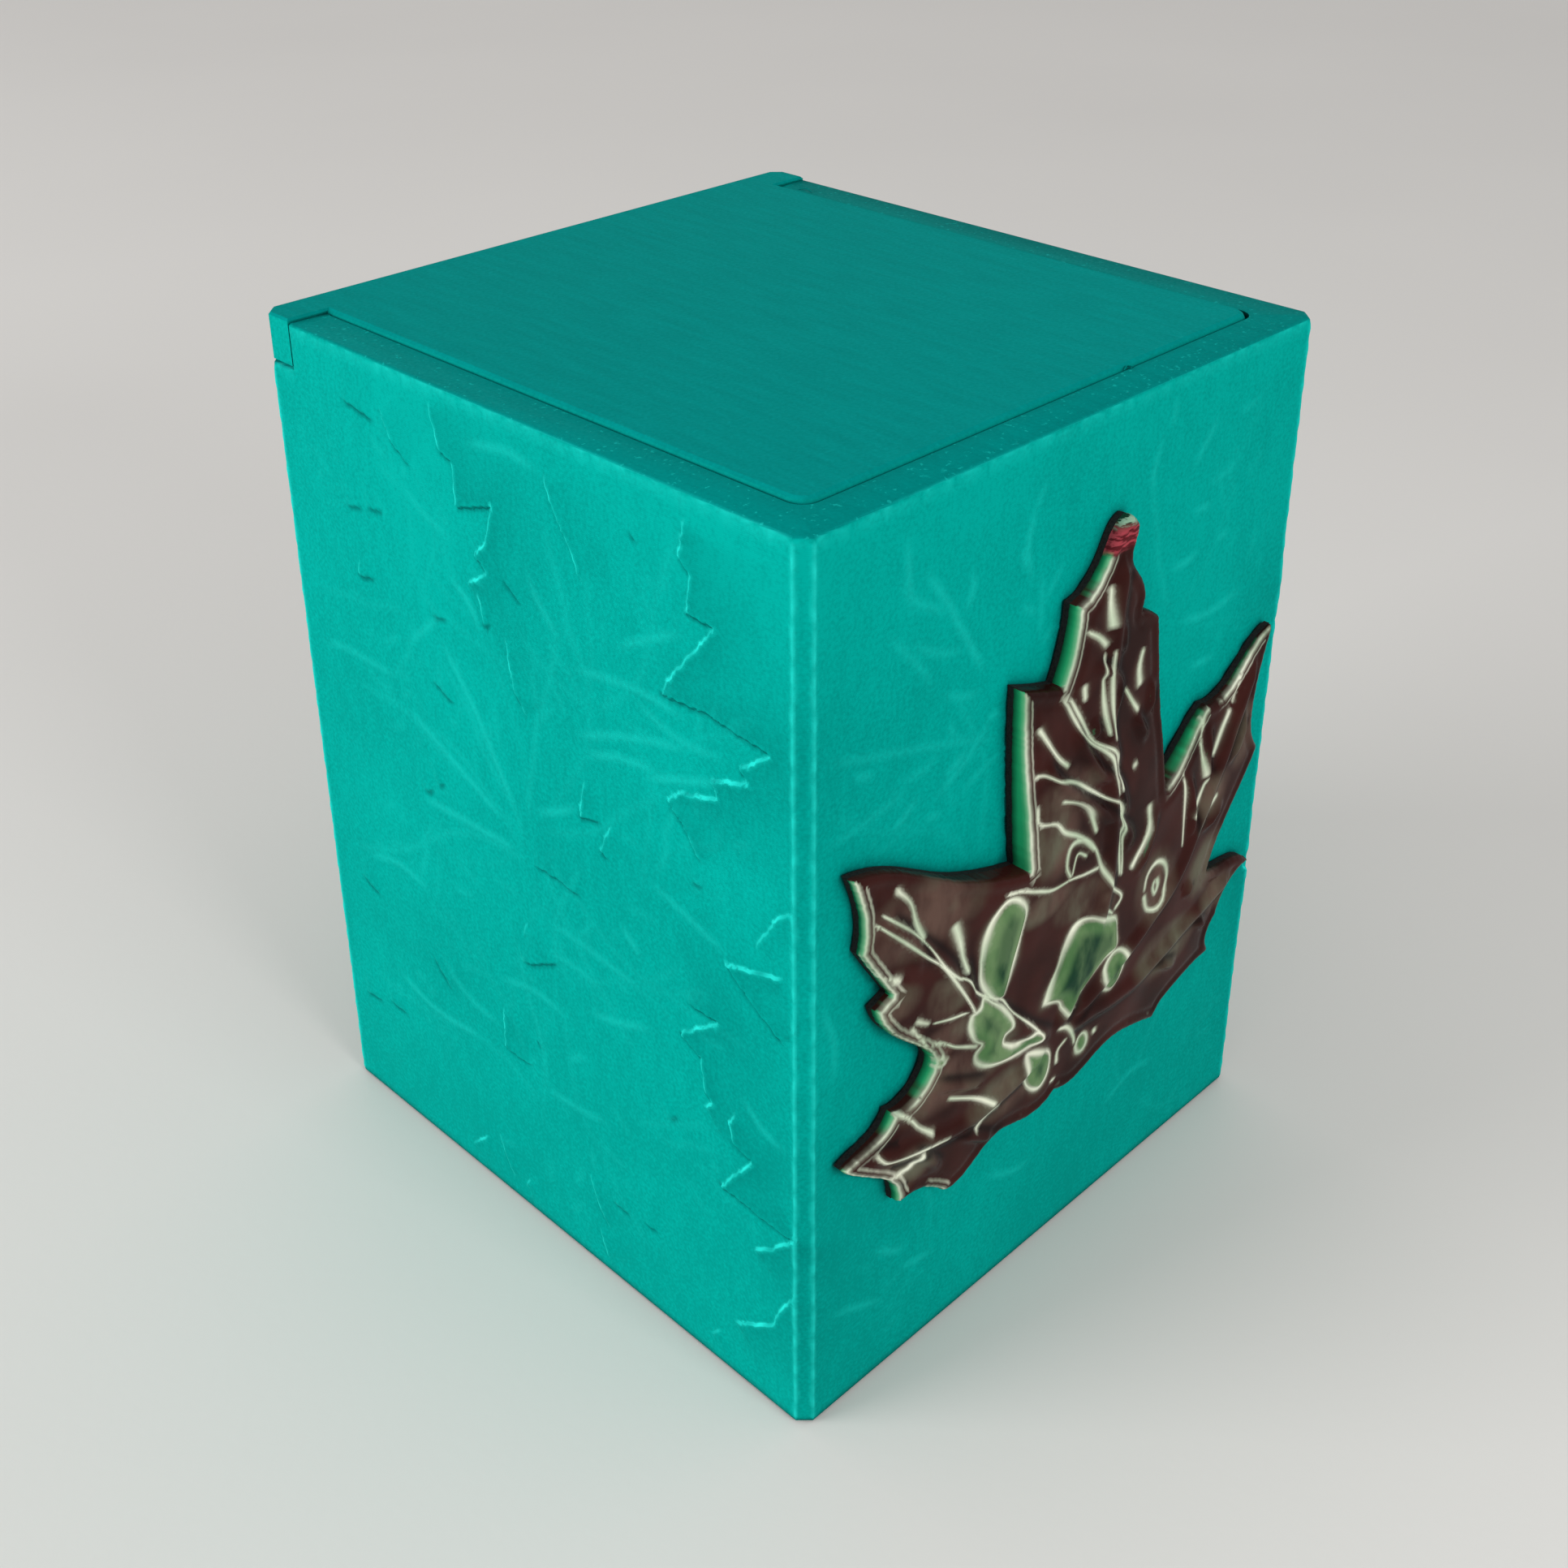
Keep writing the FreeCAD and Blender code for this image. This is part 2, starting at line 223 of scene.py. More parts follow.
SIDE_VEINS = [
    [(38.2, 79.2), (42.8, 75.5), (41.7, 71), (43.2, 64.8)],
    [(35.4, 73.2), (37.5, 69.3), (40, 65.8), (43, 63.6), (45.4, 57.8)],
    [(31.3, 71.2), (33.2, 67.7), (40.5, 61), (45.7, 56.2), (46.2, 53)],
    [(43, 83), (43.2, 78)],
    [(38.8, 73), (39.2, 70.2)],
    [(49.6, 73.9), (49, 68.6)],
    [(46, 70.4), (48.6, 66)],
    [(8.8, 63), (12, 59.4), (14.2, 54)],
    [(19.3, 53.8), (21.5, 45.6)],
    [(13.2, 43.2), (16.3, 41.8)],
    [(16, 38.6), (24.5, 34.4)],
    [(12.2, 32.4), (15.4, 29.6), (18.2, 26.2)],
    [(8.8, 29.1), (11.5, 27), (15.6, 25.9)],
    [(19.9, 29.8), (27.8, 24.4)],
    [(62.3, 62), (62, 57), (63.4, 53.5)],
    [(67, 50.2), (64, 48.5), (61.6, 48.4)],
    [(58, 57.7), (59.3, 51.5), (59.4, 47.2)],
    [(51.5, 56.5), (48.5, 48.5)],
    [(61, 42), (59.8, 39.5)],
    [(60.2, 30.2), (55, 32.6)],
    [(66, 32.2), (63.5, 34.6)],
    [(70.6, 60.4), (68.4, 55.8), (66.4, 54.4)],
]
# Pools of clear coating: the line round each, and how far its middle stands up
POOLS = [
    ([(22.2, 51.5), (22.6, 54), (23.6, 56), (25.5, 57.2), (27.3, 56.6), (28.6, 54.8), (28.1, 52),
      (27.2, 49), (26.6, 46.2), (26, 44.9), (24.8, 45.3), (23.4, 47), (22.4, 49)], 0.75),
    ([(33.3, 39.9), (34, 42.2), (34.9, 44), (35.7, 46), (37, 47.9), (38.8, 48.1), (41, 47.2),
      (43.5, 45.8), (45, 45), (45.4, 43), (45.4, 41), (43.5, 40.6), (41.7, 39.5), (39.4, 38),
      (37.5, 36.3), (36.5, 37.4), (35.7, 38.8)], 0.85),
    ([(43.5, 37.6), (44.1, 39.6), (45.6, 40.3), (47.1, 39.5), (47.7, 37.6), (47, 35.7),
      (45.6, 35), (44.2, 35.8)], 0.55),
    ([(21.4, 45), (21.3, 43.4), (22.2, 41.2), (23.3, 40.1), (22.3, 39.3), (22.7, 38), (25, 36.4),
      (29.6, 35.4), (32.8, 35.7), (31.4, 37.3), (28.8, 37), (27.1, 37.9), (26.5, 38.8), (27.3, 41),
      (26, 43.4), (24.2, 45.2), (22.6, 46.6)], 0.45),
    ([(31, 34.2), (30.8, 32), (31.2, 30), (32.4, 28.5), (33.8, 28), (35, 29.4), (35, 32),
      (33.2, 33.5)], 0.50),
    ([(40.1, 29.8), (40.5, 30.8), (41.3, 31), (42, 30.3), (42.1, 29.2), (41.4, 28.5), (40.5, 28.8)],
     0.30),
    ([(15.8, 41.4), (16.5, 42), (17.5, 41.7), (18, 41), (17.1, 40.7)], 0.20),
]
# Lines of painted highlight, shaped as pale beads of coating: half width, then the line
HIGHLIGHT_LINES = [
    (0.26, [(30.1, 66.5), (30.4, 64.2), (33, 63), (34.4, 61.4), (36.5, 60), (39, 58), (40.3, 56),
            (41.5, 53.4), (43.6, 50), (45.8, 47.6), (44.4, 46.2)]),
    (0.30, [(36, 54.9), (35, 56.8), (35.2, 58.7), (36.2, 59.3), (37.8, 58.8), (39.2, 57.4), (40, 56.4)]),
    (0.16, [(36, 55), (36.4, 57), (37, 57.6), (38.6, 56.4)]),
    (0.20, [(29.3, 69.8), (31, 69.5), (33, 68.2), (36, 66.6), (38.5, 64.6), (41, 62.6), (43.5, 60.8),
            (44.5, 57.6), (45.2, 53), (45.3, 50.4)]),
    (0.26, [(33.6, 65.4), (36.5, 64), (38.6, 61.8), (40, 58.6)]),
    (0.20, [(25.2, 58), (27.6, 57.4), (30.6, 56), (33, 55), (36, 54.8), (38.2, 54.3), (41.2, 53.8)]),
    (0.18, [(7.3, 63.4), (11, 59.6), (14, 56.4), (16.1, 54.2), (18.6, 50.4), (20.6, 47), (21.6, 45.2)]),
    (0.16, [(8.2, 64), (12, 60.4), (14.4, 57.4), (16.4, 54), (18.6, 51.5), (20.1, 50.4), (21.6, 48),
            (23.6, 46.2), (26, 44.5), (27.7, 42), (30.8, 38.6), (32.6, 36.4)]),
    (0.36, [(10.1, 66), (12, 63.6), (12.8, 61), (14, 58.2)]),
    (0.48, [(18, 58.4), (19, 55.2), (20, 51.2)]),
    (0.20, [(5.3, 64), (5.2, 61.6), (6.6, 58.8), (8.2, 56.7), (10.2, 55.3), (11.3, 55)]),
    (0.42, [(9.6, 55.4), (10.6, 55), (11.4, 54.7)]),
    (0.40, [(12.9, 49), (14.2, 48), (15.3, 47.3)]),
    (0.14, [(15.4, 47.2), (18, 46.4), (20.8, 45.8)]),
    (0.20, [(12.4, 48.4), (14.6, 45), (15.5, 42.8), (15.2, 41.7)]),
    (0.22, [(15.3, 44.5), (17.2, 43.7), (19.4, 42), (22.8, 40.1)]),
    (0.32, [(10.6, 38.4), (12.6, 36.6), (14.2, 34.4), (16.4, 32.3)]),
    (0.24, [(7.8, 34.8), (9, 33.2), (11.6, 32.2), (15.8, 31.2)]),
    (0.36, [(15.2, 31.3), (17, 31), (18.7, 30.5)]),
    (0.34, [(9.5, 29.9), (12.4, 29.8), (15, 31)]),
    (0.28, [(18.3, 35.8), (21, 34.2), (23.4, 32.6), (25.9, 30.6)]),
    (0.40, [(22.8, 28.2), (25, 29.6), (27.2, 29.9)]),
    (0.26, [(36, 34.8), (37.9, 33.9), (39.3, 31.8), (39.8, 30.2)]),
    (0.28, [(38.2, 32.4), (36.6, 31.4), (36.7, 29.2)]),
    (0.30, [(43.4, 30.6), (43.7, 29.4)]),
    (0.24, [(35.6, 27.3), (37, 27.2)]),
    (0.22, [(42.8, 47.4), (43.5, 46.8), (44.6, 45.8)]),
    (0.34, [(37, 83.3), (39, 82), (40.7, 80.3)]),
    (0.24, [(40.2, 80), (40, 77), (40.4, 73), (41, 70)]),
    (0.24, [(41.4, 80), (41.1, 77), (41.3, 73), (42.1, 69)]),
    (0.50, [(41.2, 87), (41, 84.8), (41.2, 82)]),
    (0.22, [(33.6, 77.6), (35.8, 73.8), (37.8, 70.8), (41, 67.9), (42, 65.6), (43.2, 61.8)]),
    (0.22, [(34.5, 77.3), (36.6, 73.8), (38.6, 70.4), (41.7, 68.1), (42.7, 66), (43.6, 62.2)]),
    (0.28, [(30, 75.3), (31.6, 73), (33.4, 70.4), (35, 68.8)]),
    (0.38, [(37, 77.6), (37.3, 75.2)]),
    (0.46, [(47.3, 77.8), (46.6, 75.6), (47, 73)]),
    (0.26, [(44, 74.3), (45.6, 72), (47, 70.2)]),
    (0.30, [(45.6, 64), (46.8, 64.5)]),
    (0.42, [(49.8, 57.8), (50, 55), (49, 52.8), (47, 50.3)]),
    (0.34, [(61, 63.5), (60.4, 60.6), (61, 58), (62, 55)]),
    (0.32, [(62.8, 54.9), (61, 53.4), (59.2, 51)]),
    (0.40, [(66.6, 62.2), (65, 60), (63.3, 57)]),
    (0.24, [(69, 66), (66.8, 62.4)]),
    (0.20, [(56.6, 58.9), (57.4, 55.5), (57.6, 50.8), (57.8, 47.8)]),
    (0.36, [(60.6, 47.8), (62.4, 50), (65.6, 51.3)]),
    (0.24, [(43.6, 61), (44, 57.6), (44.6, 53.4), (45, 50.6)]),
    (0.30, [(50.3, 45.5), (50.9, 47.6), (52.6, 48.5), (54.2, 47.6), (54.9, 45.5), (54.2, 43.2),
            (52.6, 42.3), (51, 43.2), (50.3, 45.5)]),
    (0.34, [(52.6, 46.5), (52.1, 45.4), (52.6, 44.4), (53.1, 45.4), (52.6, 46.5)]),
]
# Patches of hazy painted reflection, lighter on the coat: middle, half width, half height
HAZE_PATCHES = [
    (33, 61, 3.6, 4.6), (35, 66, 4.5, 2.4), (32, 53.5, 4.5, 1.8), (38, 51, 4.0, 2.2),
    (14, 61, 8.0, 4.0), (10, 47, 3.0, 2.0), (17.5, 49.5, 2.6, 3.0), (18, 44, 3.4, 2.0),
    (24.5, 40, 3.6, 4.4), (19, 38, 8.0, 3.0),
    (42, 48, 2.6, 2.4), (10, 52, 3.4, 2.0), (12, 30, 5.0, 2.6), (28, 31, 6.0, 3.2),
    (52.6, 45.4, 3.6, 4.4), (64, 52, 3.6, 2.6), (65, 42, 4.5, 4.0), (57, 34, 6.0, 3.4),
    (70, 57, 3.0, 4.0), (68, 36, 4.0, 2.4),
]
ROUGH_TIP_Z = 90.0  # the lobe's tip above this was left uncoated
LEAF_MIDDLE = (40.0, 52.0)


# ---- Lines and fields in a plane ----
def distances(line):
    """How far along a polyline each of its points is."""
    return np.concatenate([[0.0], np.cumsum(np.hypot(*np.diff(line, axis=0).T))])


def resampled(line, step):
    """Evenly spaced points along a polyline."""
    line = np.asarray(line, float)
    run = distances(line)
    count = max(3, int(math.ceil(run[-1] / step)) + 1)
    at = np.linspace(0.0, run[-1], count)
    return np.column_stack([np.interp(at, run, part) for part in line.T])


def smoothed(line, step):
    """Evenly spaced points along a smooth curve through the given points."""
    line = [np.asarray(p, float) for p in line]
    ends = [2 * line[0] - line[1]] + line + [2 * line[-1] - line[-2]]
    fine = []
    for p0, p1, p2, p3 in zip(ends, ends[1:], ends[2:], ends[3:]):
        for t in np.linspace(0, 1, 12, endpoint=False):
            fine.append(0.5 * (2 * p1 + (p2 - p0) * t + (2 * p0 - 5 * p1 + 4 * p2 - p3) * t * t
                               + (3 * p1 - p0 - 3 * p2 + p3) * t ** 3))
    fine.append(line[-1])
    return resampled(fine, step)


def right_normals(line):
    """Unit vectors to the right of the direction of travel, at each point."""
    along = np.gradient(line, axis=0)
    along /= np.maximum(np.hypot(along[:, 0], along[:, 1]), 1e-9)[:, None]
    return np.column_stack([along[:, 1], -along[:, 0]])


def roughened(line, amount):
    """The line with its points shifted sideways by a random amount, its ends kept."""
    shift = RANDOM.uniform(-amount, amount, len(line))
    shift[[0, -1]] = 0
    return line + right_normals(line) * shift[:, None]


def smooth_step(x):
    x = np.clip(x, 0.0, 1.0)
    return x * x * (3 - 2 * x)


def bell(x, width):
    """1 where x is 0, falling off smoothly over the width."""
    return np.exp(-(x / width) ** 2)


def round_ridge(gap, half):
    """1 on a line, falling to 0 at half its width."""
    return np.cos(np.clip(np.abs(gap) / half, 0, 1) * math.pi / 2) ** 2


def lift(field, index, values):
    """Raises a field to the values, at the indexed points that are lower."""
    field[index] = np.maximum(field[index], values)


def nearest(points, line, reach):
    """For the points within reach of a line: their indices, signed distance (positive to
    the right of the direction of travel) and how far along the line they are."""
    low, high = line.min(0) - reach, line.max(0) + reach
    index = np.flatnonzero(np.all((points >= low) & (points <= high), axis=1))
    chosen = points[index]
    best = np.full(len(chosen), np.inf)
    across = np.zeros(len(chosen))
    along = np.zeros(len(chosen))
    start = 0.0
    for a, b in zip(line[:-1], line[1:]):
        edge = b - a
        length = math.hypot(edge[0], edge[1])
        if length < 1e-9:
            continue
        rel = chosen - a
        t = np.clip(rel @ edge / length ** 2, 0.0, 1.0)
        gap = rel - np.outer(t, edge)
        dist = np.hypot(gap[:, 0], gap[:, 1])
        side = (rel[:, 0] * edge[1] - rel[:, 1] * edge[0]) / length
        take = (dist < best - 1e-7) | ((dist < best + 1e-7) & (np.abs(side) > np.abs(across)))
        best[take] = dist[take]
        across[take] = side[take]
        along[take] = start + t[take] * length
        start += length
    return index, np.where(across < 0, -best, best), along, start


def taper(along, length, ramp):
    """Rises from 0 to 1 from both ends of a line."""
    ramp = min(ramp, length / 2.5)
    return smooth_step(np.minimum(along, length - along) / ramp)


def waves(points, sizes, count, period=None):
    """A gentle random field: a sum of sine waves with lengths between the two sizes."""
    total = np.zeros(len(points))
    for _ in range(count):
        size = RANDOM.uniform(*sizes)
        turn = RANDOM.uniform(0, math.pi)
        kx = 2 * math.pi * math.cos(turn) / size
        kz = 2 * math.pi * math.sin(turn) / size
        if period:
            kx = 2 * math.pi * round(kx * period / (2 * math.pi)) / period
        total += np.sin(kx * points[:, 0] + kz * points[:, 1] + RANDOM.uniform(0, 2 * math.pi))
    return total / math.sqrt(count)


def thinned(points, cell):
    """The points with near duplicates left out."""
    keys = np.round(points / cell).astype(np.int64)
    _, first = np.unique(keys, axis=0, return_index=True)
    return points[np.sort(first)]


def lattice(low, high, step):
    """Points of a staggered lattice over a rectangle."""
    rows = np.arange(low[1], high[1], step * 0.866)
    found = []
    for k, z in enumerate(rows):
        xs = np.arange(low[0] + (k % 2) * step / 2, high[0], step)
        found.append(np.column_stack([xs, np.full(len(xs), z)]))
    return np.vstack(found)


def ring_links(count):
    """Links between the points of a closed line, as pairs of their indices."""
    return [(i, (i + 1) % count) for i in range(count)]


def away_from(points, others, cell):
    """The points whose cell of a square grid holds none of the others."""
    taken = {tuple(place) for place in np.floor(others / cell).astype(int)}
    keep = [tuple(place) not in taken for place in np.floor(points / cell).astype(int)]
    return points[np.array(keep, bool)]


# ---- The case's outer walls, unrolled: u runs round the case, z up ----
def wall_corners():
    """The eight corners of the case in plan, from the back of the left wall to the front."""
    c = CORNER_CHAMFER
    return np.array([
        (LEFT, BACK - c), (LEFT, FRONT + c), (LEFT + c, FRONT), (RIGHT - c, FRONT),
        (RIGHT, FRONT + c), (RIGHT, BACK - c), (RIGHT - c, BACK), (LEFT + c, BACK),
    ])


CORNERS = wall_corners()
SPANS = np.roll(CORNERS, -1, axis=0) - CORNERS
SPAN_LENGTHS = np.hypot(SPANS[:, 0], SPANS[:, 1])
CORNER_U = np.concatenate([[0.0], np.cumsum(SPAN_LENGTHS)])
AROUND = CORNER_U[-1]
OUTWARD = np.column_stack([SPANS[:, 1], -SPANS[:, 0]]) / SPAN_LENGTHS[:, None]
WALL_START = {"left": 0, "front": 2, "right": 4, "back": 6}
STEP_U0 = (BACK - CORNER_CHAMFER) - STEP_Y  # where the step starts on the left wall
STEP_U1 = CORNER_U[5] - STEP_U0  # and where it ends on the right wall
SAME = 1e-4  # lengths that differ by less are the same


def on_wall(wall, line):
    """A wall's own line, measured from its left edge, in the unrolled plane."""
    line = np.asarray(line, float)
    return line + np.array([CORNER_U[WALL_START[wall]] - CORNER_CHAMFER, 0.0])


def wall_point(u, height):
    """The place in plan that lies at u along the walls, and height in front of them."""
    u = 0.0 if u > AROUND - SAME else u
    span = int(np.clip(np.searchsorted(CORNER_U, u + SAME, side="right") - 1, 0, 7))
    base = CORNERS[span] + SPANS[span] * (u - CORNER_U[span]) / SPAN_LENGTHS[span]
    normal = OUTWARD[span]
    if abs(u - CORNER_U[span]) < SAME:  # a mitre where two walls meet
        other = OUTWARD[span - 1]
        normal = (normal + other) / (1 + normal @ other)
    return base + normal * height


def top_of_wall(u):
    """The height where the wall ends: lower at the step for the lid's head."""
    return np.where((u > STEP_U0 - SAME) & (u < STEP_U1 + SAME), WALL_TOP, STEP_Z)


def leaf_copy(wall, outline, lines, place):
    """Outline and lines of the badge's leaf, turned and scaled onto a wall."""
    x, z, size, turn = place
    a = math.radians(turn)
    rotate = np.array([[math.cos(a), math.sin(a)], [-math.sin(a), math.cos(a)]]) * size
    moved = []
    for line in [outline] + lines:
        line = (np.asarray(line, float) - LEAF_MIDDLE) @ rotate + np.array([x, z])
        moved.append(on_wall(wall, line))
    return moved


def relief_lines(outline):
    """All the steps and veins of the relief, in the unrolled plane."""
    steps = [on_wall("left", s) for s in LEFT_WALL_STEPS]
    veins = [on_wall("left", v) for v in LEFT_WALL_VEINS]
    veins += [on_wall("front", v) for v in FRONT_WALL_VEINS]
    faint = []
    for wall, places in VEINED_LEAVES.items():
        for place in places:
            lines = leaf_copy(wall, outline, RIBS + SIDE_VEINS, place)[1:]
            faint += [v for v in lines if on_one_wall(v, wall)]
    for wall, places in SCATTERED_LEAVES.items():
        for place in places:
            edge, *lines = leaf_copy(wall, outline, RIBS + SIDE_VEINS[::2], place)
            fifth = len(edge) // 5
            for k in range(5):
                steps.append(edge[k * fifth:(k + 1) * fifth + 1][::-1])
            faint += lines
    steps = [roughened(resampled(s, 0.45), 0.12) for s in steps]
    veins = [(roughened(smoothed(v, 0.7), 0.08), RANDOM.uniform(0.55, 1.0)) for v in veins]
    veins += [(roughened(smoothed(v, 0.7), 0.08), RANDOM.uniform(0.12, 0.40)) for v in faint]
    return steps, veins


def on_one_wall(line, wall):
    """True for a line that stays on its wall."""
    start = CORNER_U[WALL_START[wall]]
    end = CORNER_U[WALL_START[wall] + 1]
    return bool(np.all((line[:, 0] > start + 0.6) & (line[:, 0] < end - 0.6)
                       & (line[:, 1] > 1.5) & (line[:, 1] < WALL_TOP - 1.5)))


def relief_height(points, steps, veins, badge_loop):
    """At points of the unrolled plane: the height of the relief, how much painted highlight lies on it
    (along step edges, veins, chamfer beads and the rim), and how much painted shade (in notches and on
    the low side of steps)."""
    u, z = points.T
    leaf, extra, painted_highlight, painted_shade, vein = np.zeros((5, len(points)))
    for line in steps:
        index, gap, along, length = nearest(points, line, 5 * STEP_SLOPE)
        down = -np.interp(along, distances(line), right_normals(line)[:, 1])
        faces_down = smooth_step((down - 0.35) / 0.4)
        size = min(1.0, 0.60 + length / 30.0) * taper(along, length, 1.2)
        near = smooth_step((0.06 - gap) / 0.12)
        lift(leaf, index, STEP_RISE * size * near * np.exp(-np.maximum(-gap, 0) / STEP_SLOPE))
        wide = 0.30 if length < SHORT_STEP else 0.20
        # painted shade in the notch under a step edge that faces down, and on the step's low side
        notch = bell(gap - 0.20, wide) * faces_down * size
        extra[index] -= NOTCH_DEPTH * notch
        low = 0.30 * min(1.0, length / 20.0) * smooth_step((-gap - 0.1) / 0.3)
        low = low * np.exp(-np.abs(gap) / 5.0) * size
        lift(painted_shade, index, np.maximum(0.85 * notch, low))
        # painted highlight along step edges that don't face down
        step_highlight = bell(gap, 0.16) * (1 - faces_down) * size
        step_highlight *= 0.62 + 0.38 * np.sin(along * 1.4 + length) * np.sin(along * 0.45)
        lift(painted_highlight, index, step_highlight)
    for line, much in veins:
        index, gap, along, length = nearest(points, line, 0.9)
        lift(vein, index, much * round_ridge(gap, VEIN_HALF) * taper(along, length, 4.0))
    # veins get a fainter painted highlight
    painted_highlight = np.maximum(painted_highlight, VEIN_LIGHT * vein)
    from_seam = np.minimum(u, AROUND - u)
    total = (leaf + VEIN_RISE * vein + extra) * smooth_step(from_seam / 1.5)
    total += SURFACE_RISE + SURFACE_WAVES * waves(points, (6, 16), 9, AROUND)
    for corner in CORNER_U:  # a thin, wavy bead beside each chamfer, with a painted highlight on it
        phase = corner % AROUND
        sway = 0.07 * np.sin(z * 1.1 + 2 * phase) * np.sin(z * 0.37)
        bead = bell(u - corner - sway, CORNER_BEAD_HALF)
        bead *= 0.7 + 0.3 * np.sin(z * 2.3 + phase) * np.sin(z * 0.63)
        total += CORNER_BEAD_RISE * bead
        painted_highlight = np.maximum(painted_highlight, CORNER_BEAD_LIGHT * bead)
    index, gap, _, _ = nearest(points, badge_loop, 1.0)
    inside = inside_loop(points, badge_loop)
    depth = np.full(len(points), 1.0)
    depth[index] = np.abs(gap)
    seat = np.where(inside, smooth_step(depth / 0.4), 0.0)
    total = np.maximum(total, seat * RELIEF * 0.98)
    below_rim = top_of_wall(u) - z
    fade = smooth_step(np.minimum(z - WALL_FOOT, below_rim) / RELIEF_FADE)
    from_step = np.minimum(np.abs(u - STEP_U0), np.abs(u - STEP_U1))
    fade *= np.where(z > STEP_Z - SAME, smooth_step(from_step / RELIEF_FADE), 1.0)
    # painted highlight in a thin line just below the rim
    fringe = RIM_LIGHT * bell(below_rim, 0.5) * (0.7 + 0.3 * np.sin(u * 2.3))
    painted_highlight = np.maximum(painted_highlight * fade, fringe)
    return np.minimum(total, RELIEF * 0.99) * fade, painted_highlight, painted_shade * fade


def inside_loop(points, loop):
    """Which points lie inside a closed line."""
    inside = np.zeros(len(points), bool)
    for (x0, z0), (x1, z1) in zip(loop, np.roll(loop, -1, axis=0)):
        crosses = (z0 > points[:, 1]) != (z1 > points[:, 1])
        if abs(z1 - z0) > 1e-12:
            at = (x1 - x0) * (points[:, 1] - z0) / (z1 - z0) + x0
            inside ^= crosses & (points[:, 0] < at)
    return inside


def upright(u, z0, z1, step=0.8):
    """Evenly spaced points up a line of constant u."""
    count = max(2, int(round((z1 - z0) / step)) + 1)
    return [(u, z) for z in np.linspace(z0, z1, count)]


def level(z, u0, u1, step=0.9):
    """Evenly spaced points along a line of constant z, with one at each corner between."""
    stops = [u0] + [u for u in CORNER_U if min(u0, u1) + 1e-6 < u < max(u0, u1) - 1e-6] + [u1]
    stops.sort(reverse=bool(u0 > u1))
    row = []
    for a, b in zip(stops, stops[1:]):
        count = max(2, int(round(abs(b - a) / step)) + 1)
        row += [(u, z) for u in np.linspace(a, b, count)][:-1]
    return row + [(u1, z)]


def wall_triangles(steps, veins):
    """The unrolled walls as points and triangles, finer at the relief's lines."""
    rim = level(WALL_FOOT, 0, AROUND)
    rim += upright(AROUND, WALL_FOOT, STEP_Z)[1:]
    rim += level(STEP_Z, AROUND, STEP_U1)[1:]
    rim += upright(STEP_U1, STEP_Z, WALL_TOP)[1:]
    rim += level(WALL_TOP, STEP_U1, STEP_U0)[1:]
    rim += upright(STEP_U0, STEP_Z, WALL_TOP)[::-1][1:]
    rim += level(STEP_Z, STEP_U0, 0)[1:]
    rim += upright(0, WALL_FOOT, STEP_Z)[::-1][1:-1]
    coords = [Vector(p) for p in rim]
    links = ring_links(len(rim))
    for corner in CORNER_U[1:-1]:
        line = upright(corner, WALL_FOOT, float(top_of_wall(corner)), 0.5)
        first = len(coords)
        coords += [Vector(p) for p in line]
        links += [(first + i, first + i + 1) for i in range(len(line) - 1)]
    features = []
    for line in steps:
        normal = right_normals(line)
        for offset in STEP_ROWS:
            features.append(line + normal * offset)
    for line, _ in veins:
        normal = right_normals(line)
        for offset in VEIN_ROWS:
            features.append(line + normal * offset)
    for corner in CORNER_U:
        for offset in (-0.6, -0.3, 0.3, 0.6):
            features.append(np.array(upright(corner + offset, WALL_FOOT + 0.5, WALL_TOP - 0.5, 0.5)))
    features = thinned(np.vstack(features), 0.09)
    filler = lattice((0.0, WALL_FOOT), (AROUND, WALL_TOP), 1.5)
    free = np.vstack([features, away_from(filler, features, 0.8)])
    u, z = free.T
    margin = 0.2  # kept clear of the edges
    near_step = np.minimum(np.abs(u - STEP_U0), np.abs(u - STEP_U1)) < margin
    keep = (u > margin) & (u < AROUND - margin)
    keep &= (z > WALL_FOOT + margin) & (z < top_of_wall(u) - margin)
    keep &= ~(near_step & (z > STEP_Z - margin))
    for corner in CORNER_U[1:-1]:
        keep &= np.abs(u - corner) > 0.12
    coords += [Vector(p) for p in free[keep]]
    out, _, faces, _, _, _ = geometry.delaunay_2d_cdt(coords, links, [], 0, 1e-5)
    points = np.array([(p.x, p.y) for p in out])
    triangles = np.array([f for f in faces if len(f) == 3])
    centre = points[triangles].mean(axis=1)
    triangles = triangles[centre[:, 1] < top_of_wall(centre[:, 0])]
    return points, triangles


PAINTED_HIGHLIGHT = "painted_highlight"  # mesh attribute: painted highlight, 1 at its brightest
PAINTED_SHADE = "painted_shade"  # mesh attribute: painted shade, 1 at its darkest


def outer_face(face):
    """True for a face of the CAD case that the relief stands for."""
    for v in face.verts:
        x, y = abs(v.co.x) / MM, abs(v.co.y) / MM
        outside = max(x - RIGHT, y - BACK, (x + y - RIGHT - BACK + CORNER_CHAMFER) / math.sqrt(2))
        if outside < -1e-3 or not WALL_FOOT - 1e-3 < v.co.z / MM < WALL_TOP + 1e-3:
            return False
    flat = abs(face.normal.z) > 0.5
    return not (flat and abs(face.calc_center_median().z / MM - STEP_Z) < 0.05)


